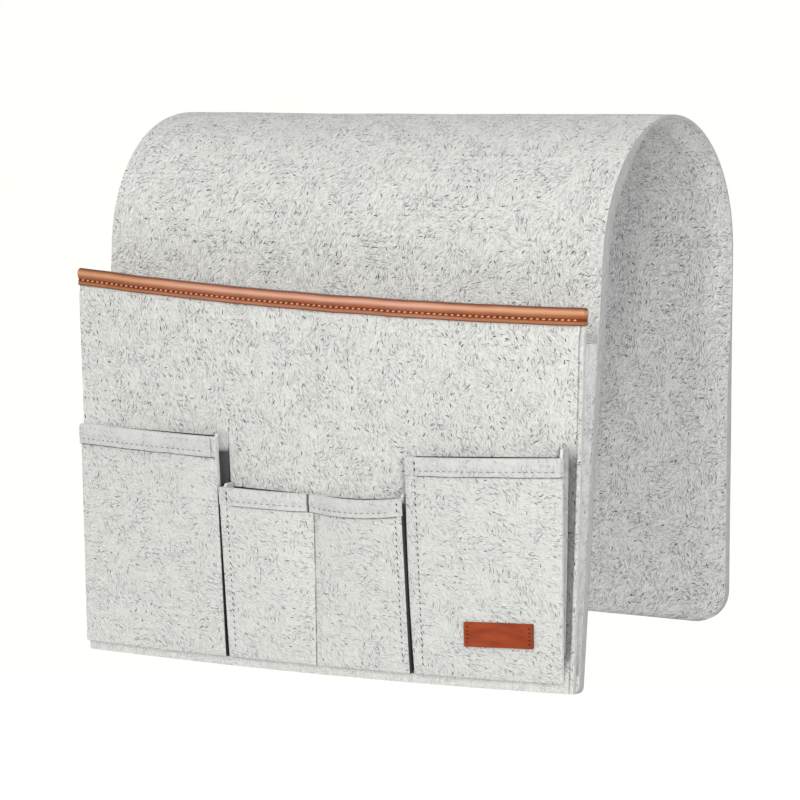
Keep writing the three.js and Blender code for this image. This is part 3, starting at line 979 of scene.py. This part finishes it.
def strip_underside(x, row):
    if row.part == "leg":
        low = bottom_edge(x) - LOW_CORNER * smooth(x, 0.75 * STRIP_HALF, STRIP_HALF)
        z = low + (LEG_TOP_Z - low) * row.at
        return Vector((x, leg_inner_y(z), z))
    if row.part == "arch":
        y = ARMREST_HALF_DEPTH * cos(row.at)
        return Vector((x, y, ARCH_CENTRE_Z + ARCH_RISE * sin(row.at)))
    return Vector((x, ARMREST_HALF_DEPTH, row.at))


def shoulder(point, row):
    """How the soft crown stands off the plain arch: fuller over the front at its left end, slacker over
    the back at its right."""
    if row.part != "arch":
        return 0
    front = (row.at - FULL_SHOULDER) / SHOULDER_REACH
    back = (row.at - (pi - FULL_SHOULDER)) / SHOULDER_REACH
    left = smooth(-point.x, 40, STRIP_HALF)
    slack = SHOULDER_SLACK * (1 - left) * exp(-back * back)
    return SHOULDER_FULLNESS * left * exp(-front * front) - slack


def settle(point):
    """How the soft strip lies: a little higher at its right end, with faint waves on it."""
    rise = CROWN_TILT * point.x / STRIP_HALF * smooth(point.z, -120, -15)
    wave = CROWN_WAVE * ripple(point.x, point.z, 70, 2.0) * smooth(point.z, -85, -60)
    back = BACK_WAVE * smooth(point.y, 40, 80) * smooth(-point.z, 60, 200)
    return Vector((0, back * ripple(point.x, point.z, 110, 5.0), rise + wave))


def pressed_edge(point, row):
    """How far the right end's underside is pressed towards the face: thin over the crown and the back of
    the arch, and a little fuller where it turns into the front drop."""
    near = smooth(point.x, STRIP_HALF - PRESSED_REACH, STRIP_HALF - 0.5)
    if row.part == "leg":
        return -near * FULL_EDGE * smooth(point.z, *FULL_EDGE_FADE)
    if row.part == "back":
        return near * PRESSED_EDGE * smooth(point.z, *PRESSED_BACK_FADE)
    crown = smooth(row.at, *PRESSED_CROWN_FADE)
    return near * (PRESSED_EDGE * crown - FULL_EDGE * (1 - crown))


def felt_strip():
    rows = strip_rows()
    columns = [u for u in spread(-1, 1, 0.035) if u < 1 - PRESSED_REACH / STRIP_HALF]
    columns += [1 - d / STRIP_HALF for d in (PRESSED_REACH, 13, 10, 7.5, 5, 2.5, 0)]
    reaches = [0.0]
    for before, after in zip(rows, rows[1:]):
        reaches.append(reaches[-1] + (strip_underside(0, after) - strip_underside(0, before)).length)

    def level(thickness):
        def face(u, j):
            row = rows[j]
            point = strip_underside(u * (STRIP_HALF - row.inset), row)
            return point + settle(point) + row.normal * (shoulder(point, row) + thickness(point, row))

        return face

    bm = sheet_mesh(
        columns, range(len(rows)), level(lambda point, row: STRIP_FELT), level(pressed_edge),
        lambda u, j: (u * STRIP_HALF, reaches[j]), THICK_ROUNDING, lining=2,
    )
    add_sheet(
        "felt_strip", "saddle", [strip_felt, strip_edge_felt, painted_light_under_felt], bm, "saddle_sheet", "felt",
        (2 * STRIP_HALF, reaches[-1]), "draped",
    )


# Magazine pocket

# Where the small pockets' edges and the side seam lie across its panel, as a share of its half width
LEFT_STEP = (LEFT_RIGHT + LEFT_FLARE) / HALF_AT_MOUTHS
MIDDLE_STEP = (RIGHT_LEFT + 0.3) / HALF_AT_MOUTHS
RIGHT_STEP = (RIGHT_RIGHT - 2 * SIDE_INSET) / HALF_AT_MOUTHS
EDGE_STEP = 1 - SEAM_INSET / HALF_TOP


def drawn_front(x, z):
    """The panel's front. Its side seams draw the felt in: firmly at the right, faintly at the left."""
    from_side = magazine_half(z) - abs(x)
    return magazine_front(x, z) + groove(
        from_side, SEAM_INSET, *(RIGHT_SIDE_GROOVE if x > 0 else LEFT_SIDE_GROOVE)
    )


def above_mouth(u, x, z):
    """How far above the mouth line of the pocket in front a place on the magazine pocket lies."""
    if z < pocket_bottom(x) + 4 or u > RIGHT_STEP:
        return FAR_SEAM
    over = left_pocket if u < LEFT_STEP else middle_pocket if u < MIDDLE_STEP else right_pocket
    return z - over.top(x) + MOUTH_SHADE_DROP


def magazine_panel():
    columns = with_lines(spread(-1, 1, 0.03), [-EDGE_STEP, EDGE_STEP], GROOVE_REACH / HALF_TOP)
    for step in (LEFT_STEP, MIDDLE_STEP, RIGHT_STEP):
        columns += [step - 0.15 / HALF_AT_MOUTHS, step + 0.15 / HALF_AT_MOUTHS]
    corner = [d / MAGAZINE_HEIGHT for d in corner_distances(PANEL_CORNER, 4)]
    rows = corner + spread(corner[-1] + 0.02, 1, 0.022)

    def place(u, v):
        inset = corner_inset(v * MAGAZINE_HEIGHT, PANEL_CORNER)
        x = u * (lerp(HALF_BOTTOM, HALF_TOP, v) - inset)
        return x, lerp(bottom_edge(x), mouth_edge(x) - BINDING_RADIUS, v)

    def seams(u, v):
        x, z = place(u, v)
        return magazine_half(z) - x - SEAM_INSET, above_mouth(u, x, z)

    def shade(u, v):
        """The margin beside the right pocket takes a painted shadow of the pocket; the border below the
        pockets is pressed flat."""
        x, z = place(u, v)
        margin = MARGIN_SHADE if RIGHT_STEP - 0.03 < u < EDGE_STEP + 0.5 / HALF_TOP else 0
        beside = smooth(right_pocket.top(x) - z, -12, 6) * smooth(z - pocket_bottom(x), 5, 18)
        return margin * beside, BORDER_PRESSED if z < pocket_bottom(x) + 1 else 0

    front, back = face_over(place, drawn_front), face_over(place, magazine_back)
    bm = sheet_mesh(sorted(columns), rows, front, back, place, THICK_ROUNDING, seams, shade)
    add_sheet(
        "magazine_panel", "magazine_pocket", [backing_felt, edge_felt], bm, "magazine_front_panel", "felt",
        (2 * HALF_TOP, MAGAZINE_HEIGHT), "stretched", rests_on=["felt_strip"],
    )


def binding_swell(height, x):
    """How far the leather stands proud of the plain fold: full above the stitches, pulled in at them."""
    pucker = BINDING_PUCKER * cos(2 * pi * x / BINDING_STITCH_PITCH)
    pinch = groove(height, BINDING_STITCH_UP, 1.2, BINDING_PINCH + pucker)
    upper = sin(pi * smooth(height, BINDING_STITCH_UP, BINDING_FLAP + 3.5))
    lower = sin(pi * clamp01(height / BINDING_STITCH_UP))
    return UPPER_SWELL * upper + LOWER_SWELL * lower - pinch


def binding_section(x, tuck, heights, arc):
    """The leather's outer and inner line at x, each up the front, round the top and down the back. Where
    the end is tucked in, the inner line stays clear of the face that closes it."""
    bend = mouth_edge(x) - BINDING_RADIUS
    middle = magazine_middle(x, bend)
    full = binding_swell(BINDING_FLAP, x)
    wander = BINDING_WANDER * ripple(x, 0, 22, 9.0)
    clear = copysign(0.5 * (1 - tuck), -x)

    def flap(way, shift, reach, swell):
        """One side's line: way is -1 up the front and 1 down the back."""
        points = []
        for height in heights[::-way]:
            z = bend - BINDING_FLAP + height
            out = (reach + swell(height, x)) * tuck
            points.append(Vector((x + shift, magazine_middle(x, z) + way * out, z + wander)))
        return points

    def flat(height, x):
        return 0

    outer_top = []
    for angle in arc:
        out = (BINDING_RADIUS + full * abs(cos(angle))) * tuck
        rise = BINDING_RADIUS * sin(angle) * tuck
        outer_top.append(Vector((x, middle - out * cos(angle), bend + rise + wander)))
    inner_top = []
    for angle in arc[::3]:
        y = middle - BINDING_INNER * cos(angle)
        inner_top.append(Vector((x + clear, y, bend + BINDING_INNER * sin(angle))))
    outer = (0, BINDING_RADIUS, binding_swell)
    inner = (clear, BINDING_INNER, flat)
    return flap(-1, *outer) + outer_top + flap(1, *outer), flap(-1, *inner) + inner_top + flap(1, *inner)


def close_end(bm, ring, outer_count):
    """Faces that close the binding's end: across the fold between its outer points, and over its inner."""
    for i in range(outer_count // 2):
        far = outer_count - 1 - i
        corners = dict.fromkeys((ring[i], ring[i + 1], ring[far - 1], ring[far]))
        if len(corners) > 2:
            bm.faces.new(tuple(corners))
    bm.faces.new(ring[outer_count:] + [ring[0], ring[outer_count - 1]])


def binding_mesh():
    heights = spread(0, BINDING_FLAP, 0.6)[:-1]
    arc = [pi * t for t in evenly(12)]
    up = heights + [BINDING_FLAP + BINDING_RADIUS * sin(angle) for angle in arc] + heights[::-1]
    start = [(-BINDING_HALF + inward, tuck) for inward, tuck in END_TUCKS]
    stations = start + [(x, 1.0) for x in spread(-BINDING_HALF + 0.8, BINDING_HALF - 0.8, 1.2)]
    stations += [(-x, tuck) for x, tuck in reversed(start)]
    bm = bmesh.new()
    uv = bm.loops.layers.uv.new("cloth")
    rings = []
    marks = {}
    for x, tuck in stations:
        outer, inner = binding_section(x, tuck, heights, arc)
        ring = [bm.verts.new(point * MM) for point in outer + inner[::-1]]
        for vert, level in zip(ring, up + [0.5 * BINDING_HEIGHT] * len(inner)):
            marks[vert] = Vector((x, level)) * MM
        rings.append(ring)
    for before, after in zip(rings, rings[1:]):
        for i in range(len(before)):
            k = (i + 1) % len(before)
            bm.faces.new((before[i], before[k], after[k], after[i]))
    close_end(bm, rings[0], len(up))
    close_end(bm, rings[-1], len(up))
    for face in bm.faces:
        for loop in face.loops:
            loop[uv].uv = marks[loop.vert]
    bmesh.ops.triangulate(bm, faces=[f for f in bm.faces if len(f.verts) > 4])
    bmesh.ops.recalc_face_normals(bm, faces=bm.faces[:])
    return bm


def magazine_binding():
    """Leather folded over the mouth, with a swell above the stitches and a groove where they pull it in."""
    add_sheet(
        "magazine_binding", "magazine_pocket", [tan_leather], binding_mesh(), "magazine_top_binding",
        "binding_leather", (2 * BINDING_HALF, 2 * BINDING_FLAP + pi * BINDING_RADIUS), "folded",
        rests_on=["magazine_panel"],
    )

    def front(x, z):
        height = z - (mouth_edge(x) - BINDING_HEIGHT)
        return magazine_middle(x, z) - BINDING_RADIUS - binding_swell(height, x)

    across = spread(-BINDING_HALF + 2, BINDING_HALF - 2, 8)
    path = [(x, mouth_edge(x) - BINDING_HEIGHT + BINDING_STITCH_UP) for x in across]
    stitch_row(
        "binding_stitches", "magazine_pocket", front, path, BINDING_STITCH_PITCH, BINDING_STITCH,
        cream_thread, lift=0.15, slant=0.25,
    )


# Gussets

OPENINGS = {"magazine_pocket": "magazine_mouth_opening", "right_pocket": "right_pocket_opening"}


def add_gusset(name, node, bodies, side, bottom, top, front, back, fold, ease=0, lip=0, band=0, shade=0):
    """A strip folded once between a front edge and a back edge, as in the model, with a rounded crease.
    Its top lies ease below the mouth in front and lip above it behind. Where it has a hemmed band there,
    the band stands open and the fold begins below it, in shade. It is cut as a wedge, so its flat box is
    as wide as its mouth. Between two bodies it is attached to neither."""

    def path(across, share, inward):
        z_top = lerp(top - ease, top + lip, smooth(across, 0, 0.2))
        z = lerp(bottom, z_top, share)
        a, b = front(z), back(z)
        tucked = lerp(BAND_FOLD, 1.0, smooth(z_top - z, band, band + BAND_FADE)) if band else 1.0
        deep = tucked * fold * clamp01((b[1] - a[1]) / fold)
        away = abs(2 * across - 1)
        crease = deep * (1 - sqrt(away * away + CREASE_ROUNDING)) / (1 - sqrt(CREASE_ROUNDING))
        bulge = GUSSET_WAVE * ripple(across * 6, z, 18, side * 4.0 + a[0]) * sin(pi * across)
        x = lerp(a[0], b[0], across) - side * (max(crease, 0) + inward)
        return Vector((x + bulge, lerp(a[1], b[1], across), z))

    # Painted shade in the fold below the hemmed band
    def folded(across, share):
        down = (top + lip - bottom) * (1 - share)
        return shade * smooth(down, band, band + 2.5) * smooth(across, 0.05, 0.2), 0

    columns, rows = evenly(14), evenly(GUSSET_ROWS)
    bm = sheet_mesh(
        columns, rows, lambda u, v: path(u, v, 0), lambda u, v: path(u, v, GUSSET_FELT),
        lambda u, v: (u * 30 + side * 50, lerp(bottom, top - ease, v)), THIN_ROUNDING, shade=folded,
    )
    widths = []
    for share in rows:
        line = [path(across, share, 0) for across in columns]
        widths.append(sum((b - a).length for a, b in zip(line, line[1:])))
    height = top - bottom
    area = sum(widths) / len(widths) * height * MM * MM
    moving = bodies[0] != bodies[1]
    piece = add_sheet(
        name, None if moving else bodies[0], [painted_light_fold_felt, edge_felt], bm, node, "gusset_felt",
        (max(widths), height), "folded", area=area,
    )
    if moving:
        blend_wedge(piece, bodies, front(top), back(top), top)


def blend_wedge(piece, bodies, front_point, back_point, z):
    """Finds the opening's hinge between two bodies and the plane that halves the wedge between them, which
    goes unused, and bakes the gusset's transform.
    """
    joint = next(j for j in frame["joints"] if j["name"] == OPENINGS[bodies[1]])
    hinge = Vector(joint["pos_m"])
    front = Vector((hinge.x, front_point[1] * MM, z * MM)) - hinge
    back = Vector((hinge.x, back_point[1] * MM, z * MM)) - hinge
    middle = (front.normalized() + back.normalized()).normalized()
    outward = (front - back).normalized()
    outward = (outward - middle * outward.dot(middle)).normalized()
    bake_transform(piece)


def magazine_gusset(side, name, node):
    edge = side * (HALF_TOP - GUSSET_FELT)
    bottom = lerp(bottom_edge(edge), mouth_edge(edge), GUSSET_START)
    top = mouth_edge(edge) - BINDING_HEIGHT - GUSSET_BELOW_BINDING

    def front(z):
        x = side * (magazine_half(z) - GUSSET_FELT / 2)
        return x, magazine_back(x, z) + SEAM_GAP

    def back(z):
        return side * (STRIP_HALF - SEAM_GAP), leg_outer_y(z) - SEAM_GAP

    add_gusset(name, node, ("saddle", "magazine_pocket"), side, bottom, top, front, back, MAGAZINE_FOLD)


# Small pockets


def pocket_panel(pocket, name, node, relief, lines=(), slit_below=-inf, slit_reach=1):
    """A pocket's front. Its right edge takes painted shade where it stands in the slit beside the next
    pocket, below the height slit_below."""
    left, right = pocket.left[0], pocket.right[0]
    width = right - left
    inner = [(line - left) / width for line in lines]
    columns = with_lines(spread(0, 1, 4 / width), inner, GROOVE_REACH / width)
    faded, full = (slit_reach + SLIT_SHADE_FADE) / width, slit_reach / width
    columns = [u for u in columns if u < 1 - faded - 0.5 / width] + [1 - faded, 1 - full, 1]

    def place(u, v):
        x = lerp(pocket.edge_at(-1, v), pocket.edge_at(1, v), u)
        return x, lerp(pocket_bottom(x), pocket.top(x), v)

    def seams(u, v):
        x, z = place(u, v)
        step = z - pocket.hem_edge(x) if pocket.hem_fullness(x) > 0.5 else FAR_SEAM
        return min((x - line for line in lines), key=abs, default=FAR_SEAM), step

    def shade(u, v):
        in_slit = u > 1 - (faded + full) / 2
        return SLIT_SHADE * smooth(slit_below - place(u, v)[1], 0, 4) if in_slit else 0, 0

    front = face_over(place, lambda x, z: pocket.front(x, z) + relief(x, z))
    back = face_over(place, pocket.back)
    rows = spread(0, 1, 0.035)
    bm = sheet_mesh(columns, rows, front, back, place, POCKET_ROUNDING, seams, shade)
    add_sheet(
        name, pocket.body, [pocket_felt, edge_felt], bm, node, "felt",
        (width, pocket.top(left) - pocket_bottom(left)), "stretched", rests_on=["magazine_panel"],
    )


def pocket_hem(pocket, start, stop, name, node, end_shade=0):
    """A hem folded over the mouth from start to stop, with a row of stitches in a groove above its edge."""
    borders = [pocket.left[1] + pocket.plain[0], pocket.right[1] - pocket.plain[1]]
    columns = with_lines(spread(start, stop, 3.5), [x for x in borders if start + 2 < x < stop - 2], 1.2)
    columns = [x for x in columns if x < stop - 1.8] + [stop - 1.2, stop]

    def place(x, v):
        return x, lerp(pocket.hem_edge(x), pocket.top(x), v)

    def base(x, z):
        return pocket.front(x, z) - SEAM_GAP

    def front(x, v):
        z = place(x, v)[1]
        swell = HEM_SWELL * sin(pi * v)
        pinch = groove(v * pocket.hem, pocket.hem * (1 - HEM_STITCH_SHARE), *HEM_GROOVE)
        return Vector((x, base(x, z) - (HEM_FELT + swell - pinch) * pocket.hem_fullness(x), z))

    bm = sheet_mesh(
        columns, spread(0, 1, 0.12), front, face_over(place, base), place, THIN_ROUNDING,
        shade=lambda x, v: (end_shade if x == stop else 0, 0),
    )
    flat = (stop - start, pocket.hem)
    add_sheet(name, pocket.body, [hem_felt, edge_felt], bm, node, "felt", flat, "folded")
    first, last = max(start, borders[0]) + 2, min(stop, borders[1]) - 2
    path = [(x, pocket.top(x) - pocket.hem * HEM_STITCH_SHARE) for x in spread(first, last, 8)]
    stitch_row(
        name + "_stitches", pocket.body, lambda x, z: base(x, z) - HEM_FELT, path, HEM_STITCH_PITCH,
        HEM_STITCH, grey_thread,
    )


def upright_stitches(pocket, x, name, relief):
    """Near-black beads down a pocket, over its hem and then on its panel, as painted shade of needle holes.
    """

    def on_hem(px, z):
        return pocket.front(px, z) - SEAM_GAP - (HEM_FELT + HEM_SWELL) * pocket.hem_fullness(px)

    def on_panel(px, z):
        return pocket.front(px, z) + relief(px, z)

    step = pocket.top(x) - pocket.hem
    upper = [(x + HEM_STITCH_SHIFT, z) for z in spread(pocket.top(x) - 1, step + 0.5, 4)]
    lower = [(x, z) for z in spread(step - 1, pocket_bottom(x) + 3, 8)]
    for part, front, path in (("_hem", on_hem, upper), ("_panel", on_panel, lower)):
        stitch_row(
            name + part, pocket.body, front, path, SIDE_STITCH_PITCH, SIDE_STITCH, painted_needle_holes, slant=0.35
        )


def pocket_gusset(pocket, side, fold, lip, flare, name, node, shade):
    low, high = pocket.left if side < 0 else pocket.right
    top = pocket.top(high)
    bottom = lerp(pocket_bottom(low), top, SMALL_GUSSET_START)

    def front(z):
        x = pocket.edge(side, z) - side * SIDE_INSET
        return x, pocket.back(x, z) + SEAM_GAP

    def back(z):
        x = pocket.edge(side, z) + side * flare * pocket.share(low, z)
        return x, magazine_front(x, z) - SEAM_GAP

    add_gusset(
        name, node, ("magazine_pocket", pocket.body), side, bottom, top, front, back, fold, SEAM_GAP, lip,
        GUSSET_BAND, shade,
    )


def left_pocket_pieces():
    def relief(x, z):
        return groove(x, left_pocket.edge(1, z) - ROUND_EDGE, *LEFT_ROUNDED_EDGE)

    slit_below = middle_pocket.top(MIDDLE_LEFT)
    pocket_panel(left_pocket, "left_pocket", "left_pocket_panel", relief, (), slit_below, LEFT_SLIT_REACH)
    stop = LEFT_RIGHT + LEFT_LEAN - ROUND_EDGE
    pocket_hem(left_pocket, SEAM_GAP - HALF_AT_MOUTHS, stop, "left_hem", "left_pocket_hem")
    pocket_gusset(
        left_pocket, 1, SIDE_FOLD, LEFT_LIP, LEFT_FLARE - LEFT_LEAN, "left_gusset", "left_pocket_gusset",
        LEFT_FOLD_SHADE,
    )


def middle_pocket_pieces():
    left, right = MIDDLE_LEFT + PLEAT_STITCH_INSET, MIDDLE_RIGHT - PLEAT_STITCH_INSET
    grooves = ((left, PLEAT_GROOVE), (MIDDLE_SEAM, MIDDLE_SEAM_GROOVE), (right, PLEAT_GROOVE))

    def relief(x, z):
        return sum(groove(x, line, *shape) for line, shape in grooves)

    pocket_panel(
        middle_pocket, "middle_pocket", "middle_pocket_panel", relief, [MIDDLE_SEAM],
        middle_pocket.top(MIDDLE_RIGHT), RIGHT_SLIT_REACH,
    )
    start, seam = MIDDLE_LEFT + SEAM_GAP, MIDDLE_SEAM - SEAM_VALLEY / 2
    pocket_hem(middle_pocket, start, seam, "middle_left_band", "middle_left_hem", BAND_END_SHADE)
    pocket_hem(middle_pocket, seam + 0.5, MIDDLE_RIGHT, "middle_right_band", "middle_right_hem")
    upright_stitches(middle_pocket, left, "left_pleat_stitches", relief)
    upright_stitches(middle_pocket, right, "right_pleat_stitches", relief)
    for side, flare, name in ((-1, -HEM_INSET, "left_pleat"), (1, 0, "right_pleat")):
        pocket_gusset(middle_pocket, side, PLEAT_FOLD, PLEAT_LIP, flare, name, "middle_" + name, PLEAT_SHADE)


def right_pocket_pieces():
    line = RIGHT_LEFT + SIDE_STITCH_INSET

    def relief(x, z):
        rounded = groove(x, right_pocket.edge(1, z) - ROUND_EDGE, *RIGHT_ROUNDED_EDGE)
        return groove(x, line, *SIDE_STITCH_GROOVE) + rounded

    pocket_panel(right_pocket, "right_pocket_front", "right_pocket_panel", relief)
    stop = RIGHT_RIGHT + RIGHT_LEAN_HIGH
    pocket_hem(right_pocket, RIGHT_LEFT + SEAM_GAP, stop, "right_hem", "right_pocket_hem")
    pocket_gusset(
        right_pocket, -1, SIDE_FOLD, 0, 0, "right_inner_gusset", "right_pocket_left_gusset", PLEAT_SHADE
    )
    pocket_gusset(
        right_pocket, 1, OUTER_FOLD, RIGHT_LIP, -SIDE_INSET, "right_outer_gusset",
        "right_pocket_right_gusset", OUTER_FOLD_SHADE,
    )
    upright_stitches(right_pocket, line, "right_side_stitches", relief)


def label():
    """A small leather patch, left bare, sewn down with a row of short stitches at each end."""
    centre_x = (RIGHT_LEFT + RIGHT_RIGHT) / 2 + LABEL_OFF_CENTRE
    centre_z = pocket_bottom(centre_x) + LABEL_ABOVE_POCKET + LABEL_HEIGHT / 2
    corner = corner_distances(LABEL_CORNER, 5)
    rows = corner + spread(LABEL_CORNER + 1, LABEL_HEIGHT - LABEL_CORNER - 1, 1.2)
    rows += [LABEL_HEIGHT - d for d in reversed(corner)]

    def on_pocket(along, above):
        x = centre_x + along * cos(LABEL_TILT) + above * LABEL_LEAN
        return x, centre_z + along * sin(LABEL_TILT) + above * cos(LABEL_TILT)

    def level(thickness):
        def face(u, up):
            to_end = min(up, LABEL_HEIGHT - up)
            along = u * (LABEL_WIDTH / 2 - corner_inset(to_end, LABEL_CORNER))
            x, z = on_pocket(along, up - LABEL_HEIGHT / 2)
            from_edge = min(LABEL_WIDTH / 2 - abs(along), to_end)
            pinch = groove(from_edge, LABEL_GROOVE_INSET, *LABEL_GROOVE) if thickness else 0
            return Vector((x, right_pocket.front(x, z) - SEAM_GAP - thickness + pinch, z))

        return face

    columns = spread(-1, 1, 0.05)
    bm = sheet_mesh(
        columns, rows, level(LABEL_LEATHER), level(0), lambda u, up: (u * LABEL_WIDTH / 2, up),
        LABEL_ROUNDING,
    )
    add_sheet(
        "label", "right_pocket", [label_leather, burnt_edge], bm, "label_patch", "label_leather",
        (LABEL_WIDTH, LABEL_HEIGHT), "laid", rests_on=["right_pocket_front"],
    )

    def front(x, z):
        return right_pocket.front(x, z) - SEAM_GAP - LABEL_LEATHER + 0.1

    wide, high = LABEL_WIDTH / 2 - LABEL_STITCH_INSET, LABEL_HEIGHT / 2 - LABEL_STITCH_MARGIN
    for side, name in ((-1, "label_left_stitches"), (1, "label_right_stitches")):
        path = [on_pocket(side * wide, -high), on_pocket(side * wide, high)]
        stitch_row(
            name, "right_pocket", front, path, LABEL_STITCH_PITCH, LABEL_STITCH, rust_thread,
            slant=radians(82),
        )


# Camera, light and floor


def put_round(name, data, target, azimuth, elevation, distance):
    """Puts a camera or lamp round a target, and turns it towards that."""
    obj = bpy.data.objects.new(name, data)
    flat = cos(elevation)
    away = Vector((sin(azimuth) * flat, -cos(azimuth) * flat, sin(elevation)))
    obj.location = target + away * distance
    obj.rotation_euler = (target - obj.location).to_track_quat("-Z", "Y").to_euler()
    bpy.context.scene.collection.objects.link(obj)
    return obj


def photo_camera():
    data = bpy.data.cameras.new("photo_camera")
    data.angle = 2 * atan(PICTURE_PIXELS / 2 / FOCAL_PIXELS)
    data.clip_end = 2000
    bpy.context.scene.camera = put_round(
        "photo_camera", data, CAMERA_TARGET, CAMERA_AZIMUTH, CAMERA_ELEVATION, CAMERA_DISTANCE
    )


def surroundings():
    """Pale walls all round, which the camera sees brighter than they shine."""
    world = bpy.data.worlds.new("studio")
    bpy.context.scene.world = world
    world.use_nodes = True
    tree = world.node_tree
    background = tree.nodes["Background"]
    background.inputs["Color"].default_value = (1.0, 1.0, 0.985, 1)
    seen = tree.nodes.new("ShaderNodeLightPath")
    strength = tree.nodes.new("ShaderNodeMapRange")
    strength.inputs["To Min"].default_value = AMBIENT
    strength.inputs["To Max"].default_value = 1.0
    tree.links.new(seen.outputs["Is Camera Ray"], strength.inputs["Value"])
    tree.links.new(strength.outputs["Result"], background.inputs["Strength"])


def studio():
    surroundings()
    for name, (azimuth, elevation, distance, size, power) in LAMPS.items():
        data = bpy.data.lights.new(name, "AREA")
        data.shape = "DISK"
        data.size = size
        data.energy = power
        data.color = KEY_COLOUR if name == "key" else (1, 1, 1)
        put_round(name, data, LAMPS_TARGET, radians(azimuth), radians(elevation), distance)
    bm = bmesh.new()
    bmesh.ops.create_grid(bm, x_segments=8, y_segments=8, size=400)
    floor = add_piece("floor", None, [floor_paint()], bm)
    floor.location = (0, 0, FLOOR_LEVEL)
    floor.visible_diffuse = False
    bpy.context.scene.view_settings.view_transform = "Standard"


random.seed(RANDOM_SEED)
photo_camera()
felt_strip()
magazine_panel()
magazine_binding()
magazine_gusset(-1, "magazine_gusset_left", "magazine_left_gusset")
magazine_gusset(1, "magazine_gusset_right", "magazine_right_gusset")
left_pocket_pieces()
middle_pocket_pieces()
right_pocket_pieces()
label()
studio()
